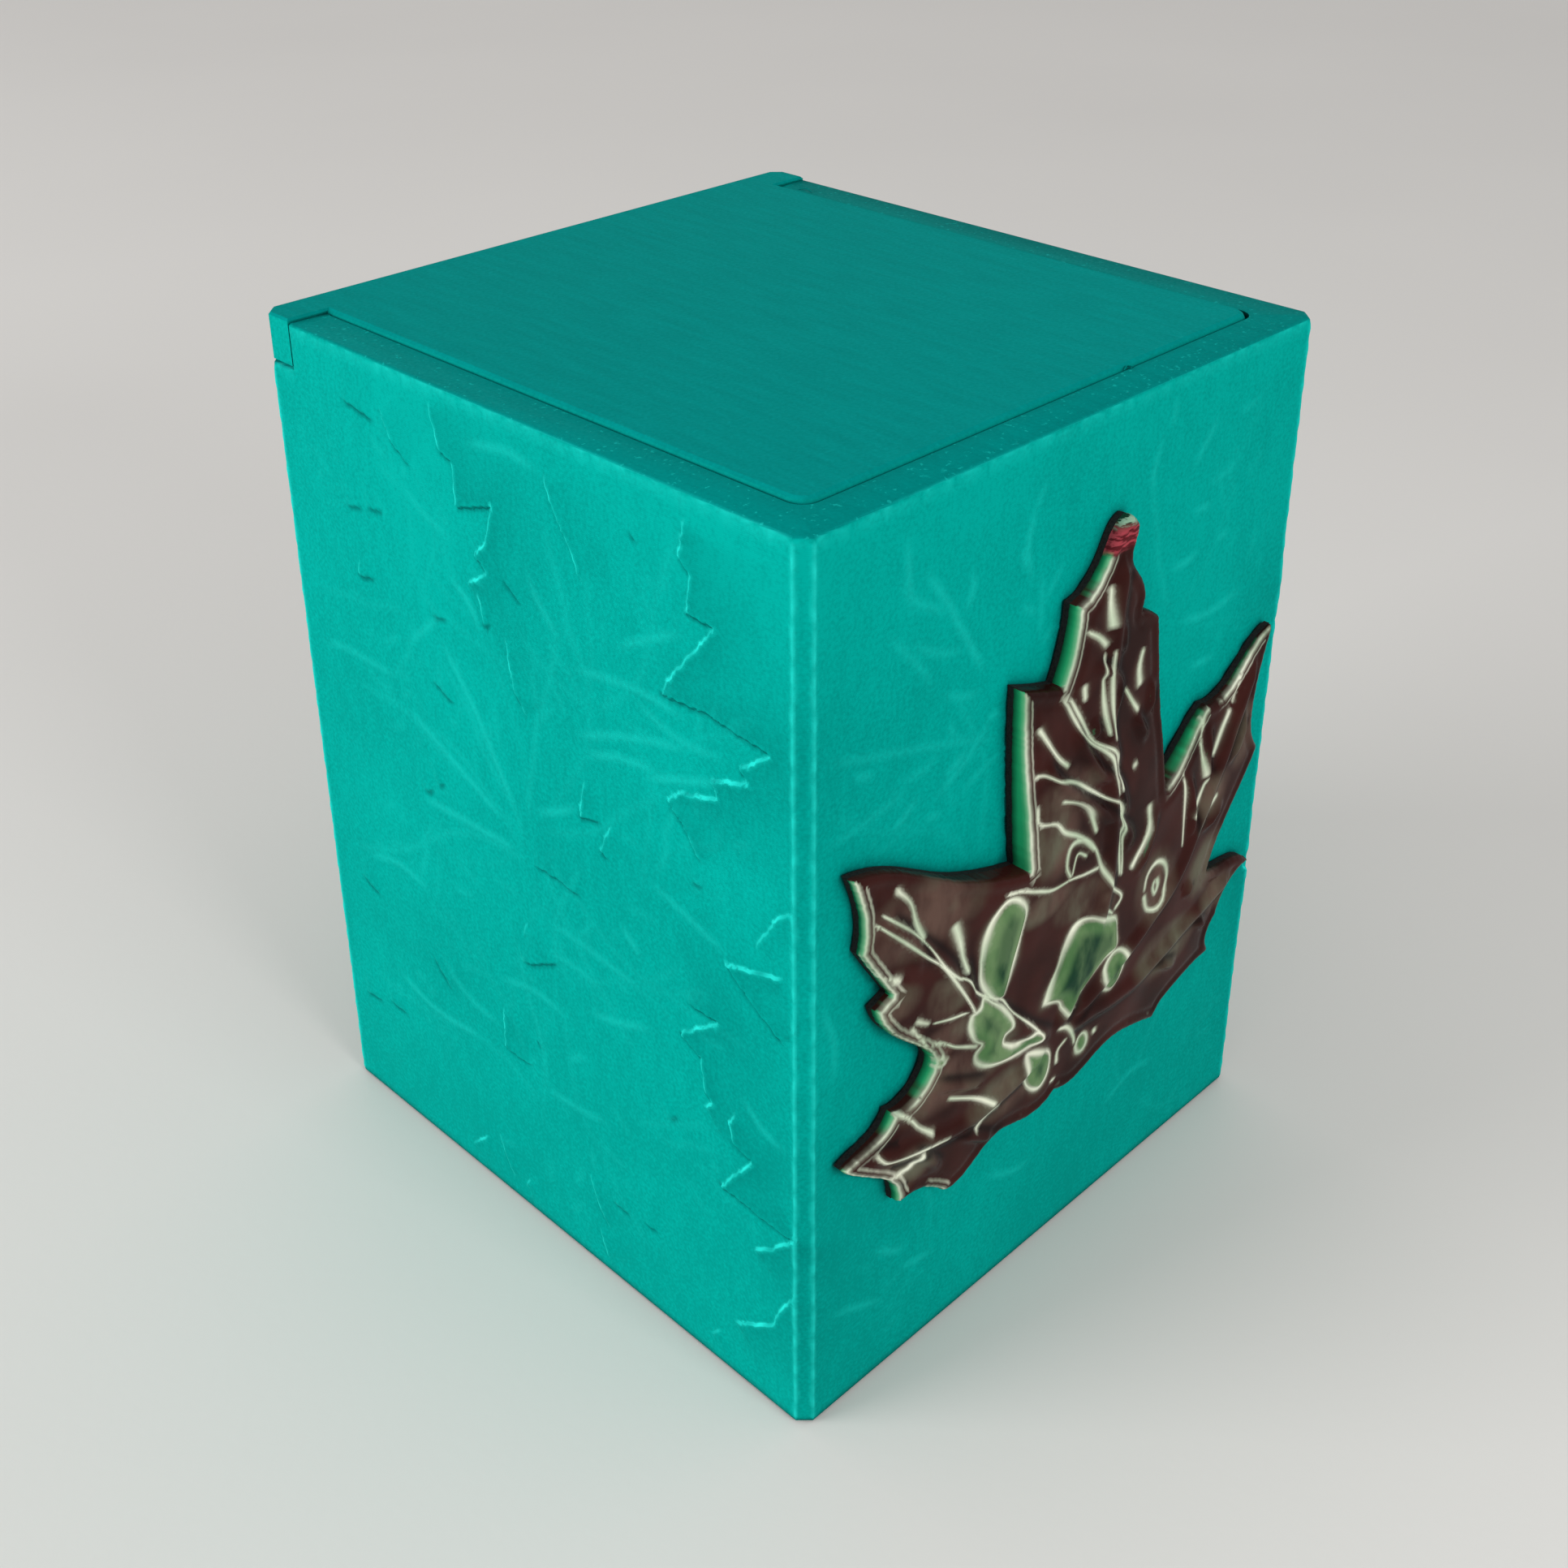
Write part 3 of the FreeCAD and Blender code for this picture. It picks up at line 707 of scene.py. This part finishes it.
def build_case(badge_outline):
    """The case: inside and edges from the CAD, outer walls with their relief."""
    steps, veins = relief_lines(badge_outline)
    points, triangles = wall_triangles(steps, veins)
    loop = on_wall("front", badge_outline)
    heights, painted_highlights, painted_shades = relief_height(points, steps, veins, loop)
    bm = bmesh.new()
    bm.from_mesh(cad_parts["box_body"].data)
    bmesh.ops.remove_doubles(bm, verts=bm.verts, dist=2e-6)
    bmesh.ops.delete(bm, geom=[f for f in bm.faces if outer_face(f)], context="FACES")
    cuts = []
    for (u, z), h in zip(points, heights):
        if abs(h) < 1e-9:
            cuts.append(Vector((*(wall_point(u, 0.0) * MM), z * MM)))
    split_edges(bm, cuts)
    light_layer = bm.verts.layers.float.new(PAINTED_HIGHLIGHT)
    dark_layer = bm.verts.layers.float.new(PAINTED_SHADE)
    verts = []
    for (u, z), h, painted_highlight, painted_shade in zip(points, heights, painted_highlights, painted_shades):
        x, y = wall_point(u, h)
        verts.append(bm.verts.new((x * MM, y * MM, z * MM)))
        verts[-1][light_layer] = painted_highlight
        verts[-1][dark_layer] = painted_shade
    for a, b, c in triangles:
        bm.faces.new((verts[a], verts[b], verts[c]))
    bmesh.ops.remove_doubles(bm, verts=bm.verts, dist=2e-6)
    bmesh.ops.recalc_face_normals(bm, faces=bm.faces)
    return finished(bm, "case", "case", ["box_body"], 38)


def split_edges(bm, cuts):
    """Splits the open edges of a mesh where the given points lie on them."""
    for edge in [e for e in bm.edges if e.is_boundary]:
        a, b = edge.verts[0].co.copy(), edge.verts[1].co.copy()
        length = (b - a).length
        found = []
        for p in cuts:
            t = (p - a).dot(b - a) / length ** 2
            if 1e-5 < t < 1 - 1e-5 and (a + (b - a) * t - p).length < 1e-6:
                found.append(t)
        done, vert = 0.0, edge.verts[0]
        for t in sorted(found):  # the edge stays the part that is left
            vert = bmesh.utils.edge_split(edge, vert, (t - done) / (1 - done))[1]
            done = t


def new_object(name, data):
    """An object in the scene that holds the data."""
    obj = bpy.data.objects.new(name, data)
    bpy.context.scene.collection.objects.link(obj)
    return obj


def finished(bm, name, body, replaced, sharp_angle):
    """A mesh object from a bmesh: smooth but for its sharp edges, riding on a body."""
    mesh = bpy.data.meshes.new(name)
    bm.to_mesh(mesh)
    bm.free()
    mesh.shade_smooth()
    mesh.set_sharp_from_angle(angle=math.radians(sharp_angle))
    obj = new_object(name, mesh)
    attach(obj, body)
    if replaced:
        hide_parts(*replaced)
    return obj


# ---- The leaf badge ----
COAT_FIELDS = ["bead", "pool", "deep", "reflection_haze", "painted_shadow"]  # mesh attributes


def outline_of(node, y):
    """A node's outline on the plane at y, as an ordered loop measured from the case's
    left edge and base."""
    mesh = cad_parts[node].data
    links = {}
    for poly in mesh.polygons:
        corners = [mesh.vertices[i].co / MM for i in poly.vertices]
        if any(abs(c.y - y) > 1e-3 for c in corners):
            continue
        keys = [(round(c.x, 4), round(c.z, 4)) for c in corners]
        for a, b in zip(keys, keys[1:] + keys[:1]):
            links[(a, b)] = True
    edges = {a: b for a, b in links if (b, a) not in links}
    loop = [next(iter(edges))]
    while edges[loop[-1]] != loop[0]:
        loop.append(edges[loop[-1]])
    loop = np.array(loop) - np.array([LEFT, 0.0])
    area = np.sum(loop[:, 0] * np.roll(loop[:, 1], -1) - loop[:, 1] * np.roll(loop[:, 0], -1))
    return loop if area > 0 else loop[::-1]


def leaf_height(points, inward):
    """How far the badge's upper face stands in front of the wall; inward is the distance
    from its outline."""
    total, weight, ridge, pool = np.zeros((4, len(points)))
    for x, z, height in LEAF_HEIGHTS:
        apart = (points[:, 0] - x) ** 2 + (points[:, 1] - z) ** 2
        w = np.exp(-apart / (2 * HEIGHT_BLEND ** 2))
        total += w * height
        weight += w
    height = total / weight
    ridges = [(rib, RIB_HALF, RIB_RISE) for rib in RIBS]
    ridges += [(vein, SIDE_VEIN_HALF, SIDE_VEIN_RISE) for vein in SIDE_VEINS]
    for line, half, rise in ridges:
        index, gap, along, length = nearest(points, smoothed(line, 0.8), half)
        lift(ridge, index, rise * round_ridge(gap, half) * taper(along, length, 3.0))
    for loop, rise in POOLS:
        index, _, _, depth = in_pool(points, loop)
        lift(pool, index, rise * (1 - np.exp(-depth / 0.9)))
    height += np.maximum(ridge * smooth_step(inward / 2.2), pool)
    height += 0.05 * waves(points, (5, 12), 8) * smooth_step(inward / 2.0)
    rough = smooth_step((points[:, 1] - ROUGH_TIP_Z) / 1.5)
    height += 0.07 * rough * waves(points, (0.8, 1.8), 14)
    edge = BADGE_EDGE_RADIUS
    fall = edge - np.sqrt(np.clip(edge ** 2 - np.clip(edge - inward, 0, edge) ** 2, 0, None))
    groove = GROOVE_DEPTH * bell(inward - GROOVE_INSET, GROOVE_HALF)
    return height - fall - groove * (1 - rough)


def closed_line(loop):
    """A smooth closed line through the given points, its first point repeated at the end."""
    line = smoothed(list(loop) + [loop[0]], 0.25)
    return np.vstack([line[:-1], line[:1]])


def in_pool(points, loop):
    """For the points near a pool: their indices, distance from its line, how far along the
    line they are, and how deep inside it."""
    loop = closed_line(loop)
    index, gap, along, _ = nearest(points, loop, 20.0)
    return index, gap, along, np.where(inside_loop(points[index], loop[:-1]), np.abs(gap), 0.0)


def coat_fields(points, inward, outward):
    """For the badge's upper face: how much painted highlight lies on it, how much of it is a pool with
    painted green reflection, how much is deep in one, how much hazy painted reflection it has, and how
    much painted shadow lies on the lower right of a vein."""
    bead, pool, deep, cloud, painted_shadow = np.zeros((5, len(points)))
    # painted highlight along the listed lines, with a halo of hazy painted reflection
    for half, line in HIGHLIGHT_LINES:
        index, gap, along, length = nearest(points, smoothed(line, BADGE_LINE_STEP), 4.5 * half)
        wide = half * (0.85 + 0.25 * np.sin(along * 0.6 + length))
        ends = taper(along, length, 0.6)
        lift(bead, index, bell(gap, wide) * ends)
        lift(cloud, index, 0.8 * bell(gap / wide, 2.2) * ends)
    # painted highlight round each pool's edge, painted green reflection inside it
    for loop, rise in POOLS:
        index, gap, along, depth = in_pool(points, loop)
        wide = 0.17 + 0.20 * np.sin(along * 0.42 + rise * 9) ** 2
        lift(bead, index, bell(gap, wide))
        lift(cloud, index, 0.9 * bell(gap / wide, 2.5))
        lift(pool, index, smooth_step(depth / 0.5))
        lift(deep, index, smooth_step((depth - 0.9) / 1.4))
    # painted shadow beside the lower right of each rib and side vein
    for line, out in [(r, 1.5) for r in RIBS] + [(v, 1.0) for v in SIDE_VEINS]:
        line = smoothed(line, 0.8)
        index, gap, along, length = nearest(points, line, 3.0)
        sides = right_normals(line) @ np.array([1.0, -0.3])
        lower_right = np.sign(np.interp(along, distances(line), sides))
        lift(painted_shadow, index, bell(gap * lower_right - out, 0.5) * taper(along, length, 2.0))
    # patches of hazy painted reflection
    for x, z, wide, tall in HAZE_PATCHES:
        near = ((points[:, 0] - x) / wide) ** 2 + ((points[:, 1] - z) / tall) ** 2
        cloud = np.maximum(cloud, smooth_step((1.7 - near) / 1.6))
    # painted highlight in two thin lines inside the edges turned left
    faces_left = smooth_step((outward @ np.array([-1.0, 0.15]) - 0.15) / 0.45)
    bead = np.maximum(bead, faces_left * bell(inward - 0.25, 0.15))
    bead = np.maximum(bead, 0.6 * faces_left * bell(inward - 1.05, 0.13))
    coated = smooth_step((ROUGH_TIP_Z - points[:, 1]) / 0.6)
    return bead * coated, pool * coated, deep, cloud * coated, painted_shadow * coated


def deeper_than(least, points, closed):
    """The points that lie inside a closed line, at least so far from it."""
    _, gap, _, _ = nearest(points, closed, 100.0)
    return points[inside_loop(points, closed[:-1]) & (np.abs(gap) > least)]


def build_badge(outline):
    """The leaf: a closed solid with upright walls, a round edge and ribs."""
    loop = roughened(resampled(np.vstack([outline, outline[:1]]), 0.35)[:-1], 0.05)
    closed = np.vstack([loop, loop[:1]])
    rings = []
    for inset in EDGE_RINGS:
        ring = closed - right_normals(closed) * inset
        rings.append(deeper_than(inset * 0.93, ring, closed))
    rings = thinned(np.vstack(rings), 0.12)
    filler = deeper_than(1.6, lattice(loop.min(0), loop.max(0), 0.34), closed)
    filler = away_from(filler, rings, 0.3)
    marks = []
    lines = [(half, smoothed(line, BADGE_LINE_STEP)) for half, line in HIGHLIGHT_LINES]
    lines += [(0.3, closed_line(pool)) for pool, _ in POOLS]
    for half, line in lines:
        for offset in (0.0, -0.6, 0.6, -1.5, 1.5):
            marks.append(line + right_normals(line) * half * offset)
    marks = deeper_than(1.9, thinned(np.vstack(marks), 0.11), closed)
    filler = away_from(filler, marks, 0.22)
    coords = [Vector(p) for p in np.vstack([loop, rings, marks, filler])]
    links = ring_links(len(loop))
    out, _, faces, originals, _, _ = geometry.delaunay_2d_cdt(coords, links, [], 1, 1e-5)
    points = np.array([(p.x, p.y) for p in out])
    _, gap, along, _ = nearest(points, closed, 100.0)
    inward = np.abs(gap)
    run = distances(closed)
    normals = right_normals(closed)
    outward = np.column_stack([np.interp(along, run, part) for part in normals.T])
    heights = np.minimum(leaf_height(points, inward), FRONT - LEAF_LOW[1])
    back = FRONT - LEAF_HIGH[1]  # the pad's front, as a height
    heights = np.maximum(heights, back + 0.25)
    fields = coat_fields(points, inward, outward)
    bm = bmesh.new()
    layers = [bm.verts.layers.float.new(name) for name in COAT_FIELDS]

    def vert(x, z, height):
        return bm.verts.new(((LEFT + x) * MM, (FRONT - height) * MM, z * MM))

    top = [vert(x, z, h) for (x, z), h in zip(points, heights)]
    for layer, values in zip(layers, fields):
        for v, value in zip(top, values):
            v[layer] = value
    for face in faces:
        bm.faces.new([top[i] for i in face])
    at = {k: i for i, found in enumerate(originals) for k in found}
    rim = [at[k] for k in range(len(loop))]
    rows = [[top[i] for i in rim]]
    for share in (0.75, 0.5, 0.25, 0.0):
        rows.append([vert(*points[i], back + share * (heights[i] - back)) for i in rim])
        # the painted highlight runs a little way down the side wall
        for i, v in zip(rim, rows[-1]):
            v[layers[0]] = 0.5 * fields[0][i] * max(0.0, share - 0.5)
    for upper, lower in zip(rows, rows[1:]):
        for k, n in ring_links(len(rim)):
            bm.faces.new((upper[k], lower[k], lower[n], upper[n]))
    bm.faces.new(rows[-1][::-1])
    bmesh.ops.recalc_face_normals(bm, faces=bm.faces)
    return finished(bm, "leaf", "case", ["leaf_badge"], 60)


# ---- Stray threads of plastic ----
def add_thread(bm, points, radius):
    """A hair of plastic left by the printer: a thin tube along a line through points in mm."""
    places = [Vector(p) for p in points]
    rows = []
    for k, place in enumerate(places):
        ahead = (places[min(k + 1, len(places) - 1)] - places[max(k - 1, 0)]).normalized()
        side = ahead.orthogonal().normalized()
        other = ahead.cross(side)
        size = radius * (1.0 if 0 < k < len(places) - 1 else 0.4)
        row = []
        for turn in range(5):
            a = 2 * math.pi * turn / 5
            row.append(bm.verts.new((place + (side * math.cos(a) + other * math.sin(a)) * size) * MM))
        rows.append(row)
    for low, high in zip(rows, rows[1:]):
        for k, n in ring_links(5):
            bm.faces.new((low[k], low[n], high[n], high[k]))
    bm.faces.new(rows[0][::-1])
    bm.faces.new(rows[-1])


def build_threads():
    """Short threads beside the lid's seam."""
    seam = FRONT + 4.7
    top = RIM + 0.03
    lines = [
        [(11.2, seam, top), (12, seam + 0.2, top + 0.25), (12.6, seam - 0.2, top)],
        [(12, seam - 0.3, top), (12.3, seam, top + 0.2), (12.2, seam + 0.5, top)],
        [(RIGHT - 3.9, BACK - 8, top), (RIGHT - 3.4, BACK - 9, top + 0.2),
         (RIGHT - 3.8, BACK - 10.4, top)],
    ]
    bm = bmesh.new()
    for line in lines:
        plan = smoothed([(p[0], p[1]) for p in line], 0.2)
        heights = smoothed([(k, p[2]) for k, p in enumerate(line)], 0.02)[:, 1]
        heights = np.interp(np.linspace(0, 1, len(plan)), np.linspace(0, 1, len(heights)), heights)
        add_thread(bm, [(x, y, z) for (x, y), z in zip(plan, heights)], 0.045)
    return finished(bm, "stray_threads", "case", [], 60)


# ---- Materials ----
class Graph:
    """Short names for building a material's nodes."""

    def __init__(self, name):
        self.material = bpy.data.materials.new(name)
        self.material.use_nodes = True
        self.tree = self.material.node_tree
        self.shader = self.tree.nodes["Principled BSDF"]
        coordinates = self.tree.nodes.new("ShaderNodeTexCoord")
        self.place = coordinates.outputs["Object"]
        self.facing = coordinates.outputs["Normal"]

    def add(self, kind, inputs, **settings):
        node = self.tree.nodes.new(kind)
        for key, value in settings.items():
            setattr(node, key, value)
        for key, value in inputs.items():
            self.set(node.inputs[key], value)
        return node

    def set(self, socket, value):
        if isinstance(value, bpy.types.NodeSocket):
            self.tree.links.new(value, socket)
        elif socket.type == "RGBA":
            socket.default_value = (*value, 1.0)
        else:
            socket.default_value = value

    def math(self, operation, a, b=0.0, clamp=False):
        node = self.add("ShaderNodeMath", {0: a, 1: b}, operation=operation, use_clamp=clamp)
        return node.outputs[0]

    def plus(self, a, b, clamp=False):
        return self.math("ADD", a, b, clamp)

    def times(self, a, b, clamp=False):
        return self.math("MULTIPLY", a, b, clamp)

    def axis(self, vector, name):
        return self.add("ShaderNodeSeparateXYZ", {0: vector}).outputs[name]

    def attribute(self, name):
        return self.add("ShaderNodeAttribute", {}, attribute_name=name).outputs["Fac"]

    def noise(self, scale, detail=2.0, stretch=(1, 1, 1), turn=(0, 0, 0)):
        placed = {"Vector": self.place, "Scale": stretch, "Rotation": turn}
        vector = self.add("ShaderNodeMapping", placed).outputs[0]
        inputs = {"Vector": vector, "Scale": scale, "Detail": detail}
        return self.add("ShaderNodeTexNoise", inputs).outputs["Fac"]

    def ramp(self, value, low, high, to_low=0.0, to_high=1.0):
        inputs = dict(zip(range(5), (value, low, high, to_low, to_high)))
        return self.add("ShaderNodeMapRange", inputs).outputs[0]

    def mix(self, share, a, b):
        return self.add("ShaderNodeMix", {0: share, 6: a, 7: b}, data_type="RGBA").outputs[2]

    def bump(self, height, distance, strength=1.0, under=None):
        inputs = {"Height": height, "Distance": distance, "Strength": strength}
        if under is not None:
            inputs["Normal"] = under
        return self.add("ShaderNodeBump", inputs).outputs["Normal"]

    def finish(self, **inputs):
        for key, value in inputs.items():
            self.set(self.shader.inputs[SHADER_INPUTS[key]], value)
        return self.material


SHADER_INPUTS = {
    "color": "Base Color", "roughness": "Roughness", "normal": "Normal",
    "specular": "Specular IOR Level", "coat": "Coat Weight", "coat_roughness": "Coat Roughness",
    "coat_normal": "Coat Normal", "coat_ior": "Coat IOR",
}
LAYER_HEIGHT = 0.0002  # of the print, in metres
SEAM_REACH = 0.0014  # a surface nearer than this to another one gets painted shade
TEAL = (0.0002, 0.355, 0.302)
TEAL_DEEP = (0.0001, 0.270, 0.230)
# TEAL_LID and TEAL_RIM colour the upward faces, darker than TEAL: painted shade of the tops
TEAL_LID = (0.0001, 0.275, 0.254)
TEAL_RIM = (0.0001, 0.240, 0.220)
# light specks on the tops, and the colour of the painted highlight
TEAL_SPECK_AND_HIGHLIGHT = (0.020, 0.78, 0.69)
# worn marks on the tops, and the colour of the painted shade
TEAL_DARK = (0.0001, 0.070, 0.065)


def printed_teal(name, shaded_top_color, top_specks):
    """Matte printed plastic. Painted shade: its upward faces take a darker colour, it darkens toward the
    base, in seams and where the painted-shade attribute says; the painted-highlight attribute lightens
    it.
    """
    g = Graph(name)
    height = g.axis(g.place, "Z")
    upward = g.ramp(g.axis(g.facing, "Z"), 0.35, 0.65)
    layer = g.math("SINE", g.times(height, 2 * math.pi / LAYER_HEIGHT))
    cloud = g.noise(45.0, 3.0)
    streak = g.noise(620.0, 2.0, (1.0, 1.0, 0.45), (0.9, 0.4, 0.3))
    grain = g.noise(2400.0, 2.0)
    stroke = g.noise(900.0, 2.0, (1.0, 0.14, 1.0), (0, 0, -0.78))
    share = g.plus(g.ramp(cloud, 0.3, 0.7, 0.0, 0.50), g.ramp(streak, 0.35, 0.65, -0.10, 0.16))
    # painted shade: darker toward the base
    share = g.plus(share, g.ramp(height, RIM * MM, 0.0, 0.0, 0.45))
    share = g.plus(share, g.ramp(grain, 0.3, 0.7, -0.45, 0.45), True)
    color = g.mix(share, TEAL, TEAL_DEEP)
    worn = g.plus(g.ramp(stroke, 0.3, 0.7, 0.0, 0.13), g.ramp(grain, 0.3, 0.7, 0.0, 0.16))
    top = g.mix(worn, shaded_top_color, TEAL_DARK)
    specks = g.times(g.ramp(g.noise(1900.0, 1.0), 0.66, 0.74), top_specks, True)
    top = g.mix(specks, top, TEAL_SPECK_AND_HIGHLIGHT)
    # upward faces take the darker top colour: painted shade
    color = g.mix(upward, color, top)
    # painted shade: notches, the low side of steps, and seams found by ambient occlusion
    painted_shade = g.attribute(PAINTED_SHADE)
    seam = g.add("ShaderNodeAmbientOcclusion", {"Distance": SEAM_REACH}, samples=4).outputs["AO"]
    color = g.mix(g.math("MAXIMUM", painted_shade, g.ramp(seam, 0.84, 0.42)), color, TEAL_DARK)
    # painted highlight: lighter and glossier where the attribute says
    painted_highlight = g.attribute(PAINTED_HIGHLIGHT)
    color = g.mix(painted_highlight, color, TEAL_SPECK_AND_HIGHLIGHT)
    rough = g.math("SUBTRACT", g.ramp(grain, 0.3, 0.7, 0.50, 0.62), g.times(painted_highlight, 0.2))
    fine = g.bump(grain, 0.00004, 0.5)
    fine = g.bump(layer, 0.000008, g.times(g.math("SUBTRACT", 1.0, upward), 0.5), fine)
    fine = g.bump(stroke, 0.00005, g.times(upward, 0.4), fine)
    return g.finish(color=color, roughness=rough, normal=fine, specular=0.004)


def coated_leaf():
    """Dark silk plastic under a thick clear coat, with painted highlight along its bead lines, painted
    green reflection in its pools, hazy painted reflection, painted shadow beside the veins, and on the
    sides turned left a painted green reflection that turns to painted shade near the wall; the tip is
    bare."""
    g = Graph("coated_leaf")
    height = g.axis(g.place, "Z")
    bead, pool, deep, reflection_haze, painted_shadow = [g.attribute(name) for name in COAT_FIELDS]
    cloud = g.noise(120.0, 3.0)
    swirl = g.noise(300.0, 3.0, (1, 1, 0.5))
    dark = g.mix(g.ramp(cloud, 0.35, 0.65), (0.042, 0.010, 0.008), (0.018, 0.005, 0.004))
    # hazy painted reflection, lighter and greyer
    haze = g.times(reflection_haze, g.ramp(swirl, 0.30, 0.62, 0.25, 1.0))
    murk = g.mix(g.ramp(cloud, 0.40, 0.58), (0.112, 0.110, 0.074), (0.105, 0.060, 0.046))
    color = g.mix(haze, dark, murk)
    # painted shadow: near black beside the veins
    color = g.mix(g.times(painted_shadow, 0.85), color, (0.006, 0.003, 0.003))
    # painted reflection: green in the pools, darker toward their middles
    clear = g.mix(g.ramp(swirl, 0.40, 0.60), (0.070, 0.165, 0.060), (0.140, 0.240, 0.105))
    depth = g.times(deep, g.ramp(swirl, 0.60, 0.40, 0.55, 1.0))
    clear = g.mix(depth, clear, (0.003, 0.036, 0.016))
    color = g.mix(pool, color, clear)
    # painted reflection on the sides turned left: green outside, painted shade near the wall
    side = g.add("ShaderNodeVectorMath", {0: g.facing, 1: (-1.0, 0.0, 0.15)}, operation="DOT_PRODUCT")
    inner = g.ramp(g.axis(g.place, "Y"), (FRONT - 1.9) * MM, (FRONT - 0.9) * MM)
    edge = g.mix(inner, (0.020, 0.420, 0.170), (0.001, 0.015, 0.008))
    color = g.mix(g.ramp(side.outputs["Value"], 0.55, 0.85), color, edge)
    # colour of the painted highlight along the highlight lines
    pale = g.mix(g.ramp(cloud, 0.35, 0.62), (0.86, 0.90, 0.72), (0.50, 0.62, 0.44))
    color = g.mix(g.times(bead, g.ramp(swirl, 0.25, 0.5, 0.65, 1.0)), color, pale)
    weave = g.noise(1100.0, 2.0, (0.6, 1, 3.0), (0, 0.5, 0))
    red = g.mix(g.ramp(weave, 0.44, 0.56), (0.34, 0.05, 0.065), (0.10, 0.012, 0.016))
    green = g.mix(g.ramp(weave, 0.46, 0.54), (0.01, 0.045, 0.025), (0.26, 0.42, 0.30))
    bare = g.mix(g.ramp(height, (ROUGH_TIP_Z + 2.0) * MM, (ROUGH_TIP_Z + 2.8) * MM), red, green)
    tip = g.ramp(height, (ROUGH_TIP_Z - 0.3) * MM, (ROUGH_TIP_Z + 0.3) * MM)
    ripple = g.noise(95.0, 2.0)
    return g.finish(
        color=g.mix(tip, color, bare),
        specular=0.02,
        roughness=g.plus(0.30, g.times(tip, 0.15)),
        normal=g.bump(weave, 0.00016, g.times(tip, 0.8)),
        coat=g.times(g.math("SUBTRACT", 1.0, tip), 0.13),
        coat_roughness=0.012,
        coat_ior=1.4,
        coat_normal=g.bump(ripple, 0.0006, 0.35),
    )


def black_foam_and_shadow():
    """The adhesive pad: fine black foam, whose black edge also stands in for the shadow under the badge,
    painted shade.
    """
    g = Graph("black_foam_and_shadow")
    cells = g.add("ShaderNodeTexVoronoi", {"Vector": g.place, "Scale": 2800.0}).outputs["Distance"]
    color = g.mix(g.ramp(cells, 0.0, 0.6), (0.004, 0.004, 0.004), (0.012, 0.012, 0.012))
    return g.finish(color=color, roughness=0.85, specular=0.2, normal=g.bump(cells, 0.00005, 0.6))


def pale_floor():
    """A plain pale table top with a faint grain."""
    g = Graph("pale_floor")
    cloud = g.noise(5.0, 3.0)
    grain = g.noise(700.0, 2.0)
    color = g.mix(cloud, (0.725, 0.722, 0.70), (0.675, 0.67, 0.65))
    return g.finish(color=color, roughness=0.7, specular=0.25, normal=g.bump(grain, 0.00006, 0.25))


# ---- Floor, light, camera ----
def build_floor(material):
    mesh = bpy.data.meshes.new("floor")
    size = 3.0
    corners = [(-size, -size, 0), (size, -size, 0), (size, size, 0), (-size, size, 0)]
    mesh.from_pydata(corners, [], [(0, 1, 2, 3)])
    mesh.materials.append(material)
    new_object("floor", mesh)


def softbox(name, place, target, width, height, watts):
    """A soft rectangular light, aimed at a point."""
    light = bpy.data.lights.new(name, "AREA")
    light.shape = "RECTANGLE"
    light.size = width
    light.size_y = height
    light.energy = watts
    obj = new_object(name, light)
    obj.location = place
    obj.rotation_mode = "QUATERNION"
    obj.rotation_quaternion = (Vector(place) - Vector(target)).to_track_quat("Z", "Y")


def build_light():
    softbox("left_window", (-1.08, 0.59, 0.355), (0, 0.02, 0.07), 0.75, 0.45, 12.1)
    softbox("front_window", (-0.06, -0.42, 0.27), (0, 0, 0.09), 0.18, 0.05, 0.80)
    world = bpy.data.worlds.new("studio")
    world.use_nodes = True
    background = world.node_tree.nodes["Background"]
    background.inputs["Color"].default_value = (1.0, 0.975, 0.965, 1)
    background.inputs["Strength"].default_value = 0.64
    bpy.context.scene.world = world
    bpy.context.scene.view_settings.view_transform = "Standard"


def build_camera():
    """Looks down on the front left corner from close by."""
    data = bpy.data.cameras.new("camera")
    data.sensor_width = 36.0
    data.lens = 45.55
    data.shift_y = -0.127
    camera = new_object("camera", data)
    camera.location = (-0.1450, -0.1447, 0.1760)
    azimuth, drop, roll = math.radians(44.93), math.radians(26.91), math.radians(-0.35)
    level = math.cos(drop)
    ahead = Vector((math.sin(azimuth) * level, math.cos(azimuth) * level, -math.sin(drop)))
    level_right = ahead.cross(Vector((0, 0, 1))).normalized()
    up = level_right.cross(ahead)
    right = level_right * math.cos(roll) + up * math.sin(roll)
    up = right.cross(ahead)
    camera.rotation_mode = "QUATERNION"
    axes = [right, up, -ahead]
    rows = [[axis[k] for axis in axes] for k in range(3)]
    camera.rotation_quaternion = Matrix(rows).to_quaternion()
    bpy.context.scene.camera = camera


# ---- Making everything ----
badge_outline = outline_of("badge_adhesive_pad", PAD_HIGH[1])
case = build_case(badge_outline)
leaf = build_badge(badge_outline)
threads = build_threads()
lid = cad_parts["sliding_lid"]
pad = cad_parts["badge_adhesive_pad"]

wall_teal = printed_teal("printed_teal_walls", TEAL_RIM, 0.22)
lid_teal = printed_teal("printed_teal_lid", TEAL_LID, 0.04)
dressed = [(case, wall_teal), (threads, wall_teal), (leaf, coated_leaf()), (lid, lid_teal),
           (pad, black_foam_and_shadow())]
for obj, material in dressed:
    obj.data.materials.clear()
    obj.data.materials.append(material)

build_floor(pale_floor())
build_light()
build_camera()
